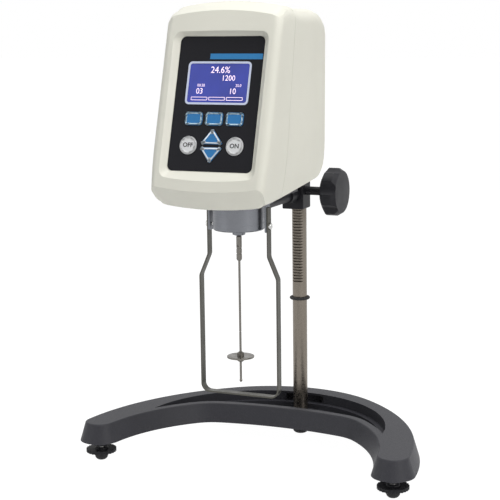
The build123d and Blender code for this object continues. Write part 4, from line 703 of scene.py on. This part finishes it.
def mould_head():
    """The two halves of the housing with their tapered flanks, arched crown and rounded shoulders."""
    for node in ("front_bezel", "rear_cover"):
        bm = bmesh.new()
        bm.from_mesh(frame["nodes"][node].data)
        bmesh.ops.remove_doubles(bm, verts=bm.verts, dist=WELD * MM)
        cuts = [(X_AXIS, side * x) for x in HEAD_CUTS_X for side in ((1, -1) if x else (1,))]
        cuts += [(Z_AXIS, z) for z in HEAD_CUTS_Z] + [(Vector((0, 1, 0)), y) for y in HEAD_CUTS_Y]
        for axis, at in cuts:
            faces = [f for f in bm.faces if min(v.co.dot(axis) for v in f.verts) < at * MM < max(
                v.co.dot(axis) for v in f.verts)]
            around = {e for f in faces for e in f.edges} | {v for f in faces for v in f.verts}
            bmesh.ops.bisect_plane(bm, geom=faces + list(around), dist=ON_CUT * MM,
                                   plane_co=axis * at * MM, plane_no=axis)
        for v in bm.verts:
            v.co = moulded(v.co / MM) * MM
        mesh = mesh_from(bm, node)
        if "custom_normal" in mesh.attributes:
            mesh.attributes.remove(mesh.attributes["custom_normal"])
        mesh.materials.clear()
        thing = piece(node + "_moulded", mesh, LOOKS["housing"], body_of(node), True)
        mesh.set_sharp_from_angle(angle=SHARP_ANGLE)
        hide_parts(node)


# ---------------------------------------------------------------- stage and light
def any_of(g, rays):
    path = g.add("ShaderNodeLightPath")
    total = path.outputs[rays[0]]
    for ray in rays[1:]:
        total = g.math("MAXIMUM", total, path.outputs[ray])
    return total


FLOOR_GLOW = 0.86       # how much of the floor's white is its own, for the camera
WORLD_LIGHT = 0.17


def add_stage():
    g = Graph("floor")
    tree = g.tree
    grain = g.mix(g.span(g.noise(3.0), 0.3, 0.7), (0.88, 0.88, 0.88, 1), (0.92, 0.92, 0.92, 1))
    g.put(g.shader, Base_Color=grain, Roughness=0.9)
    white = g.add("ShaderNodeEmission")
    white.inputs["Color"].default_value = (1, 1, 1, 1)
    white.inputs["Strength"].default_value = 1.15
    blend = g.add("ShaderNodeMixShader")
    seen = any_of(g, ("Is Camera Ray", "Is Glossy Ray", "Is Transmission Ray"))
    g.join(g.math("MULTIPLY", seen, FLOOR_GLOW), blend.inputs[0])
    g.join(g.shader.outputs[0], blend.inputs[1])
    g.join(white.outputs[0], blend.inputs[2])
    g.join(blend.outputs[0], tree.nodes["Material Output"].inputs["Surface"])
    bm = bmesh.new()
    bmesh.ops.create_grid(bm, x_segments=8, y_segments=8, size=12.0)
    mesh = mesh_from(bm, "floor")
    mesh.materials.append(g.material)
    floor = bpy.data.objects.new("floor", mesh)
    bpy.context.scene.collection.objects.link(floor)

    world = bpy.data.worlds.new("world")
    world.use_nodes = True
    nodes, links = world.node_tree.nodes, world.node_tree.links
    soft = nodes["Background"]
    soft.inputs["Color"].default_value = (0.97, 0.98, 1.0, 1)
    soft.inputs["Strength"].default_value = WORLD_LIGHT
    white = nodes.new("ShaderNodeBackground")
    white.inputs["Color"].default_value = (1, 1, 1, 1)
    white.inputs["Strength"].default_value = 1.0
    path = nodes.new("ShaderNodeLightPath")
    most = path.outputs["Is Camera Ray"]
    for ray in ("Is Glossy Ray", "Is Transmission Ray"):
        higher = nodes.new("ShaderNodeMath")
        higher.operation = "MAXIMUM"
        links.new(most, higher.inputs[0])
        links.new(path.outputs[ray], higher.inputs[1])
        most = higher.outputs[0]
    blend = nodes.new("ShaderNodeMixShader")
    links.new(most, blend.inputs[0])
    links.new(soft.outputs[0], blend.inputs[1])
    links.new(white.outputs[0], blend.inputs[2])
    links.new(blend.outputs[0], nodes["World Output"].inputs["Surface"])
    bpy.context.scene.world = world


def add_lamp(name, place, target, size, power, colour=(1, 1, 1)):
    data = bpy.data.lights.new(name, "AREA")
    data.shape = "RECTANGLE"
    data.size, data.size_y = size
    data.energy = power
    data.color = colour
    lamp = bpy.data.objects.new(name, data)
    lamp.location = place
    aim = (Vector(target) - Vector(place)).to_track_quat("-Z", "Y")
    lamp.rotation_euler = aim.to_euler()
    bpy.context.scene.collection.objects.link(lamp)


def add_lights():
    middle = (0, -0.1, 0.28)
    add_lamp("key_right", (1.7, -0.9, 1.1), middle, (1.0, 1.2), 17.0, (1.0, 0.99, 0.97))
    add_lamp("fill_left", (-1.5, -1.5, 0.8), middle, (1.0, 1.2), 5.0, (0.97, 0.98, 1.0))
    add_lamp("top", (0.1, -0.2, 1.9), middle, (1.2, 1.2), 24.0)


bpy.context.scene.view_settings.view_transform = "Standard"
add_camera()
dress_frame()
dress_keys()
dress_display()
dress_panel()
dress_level()
mould_head()
add_stage()
add_lights()
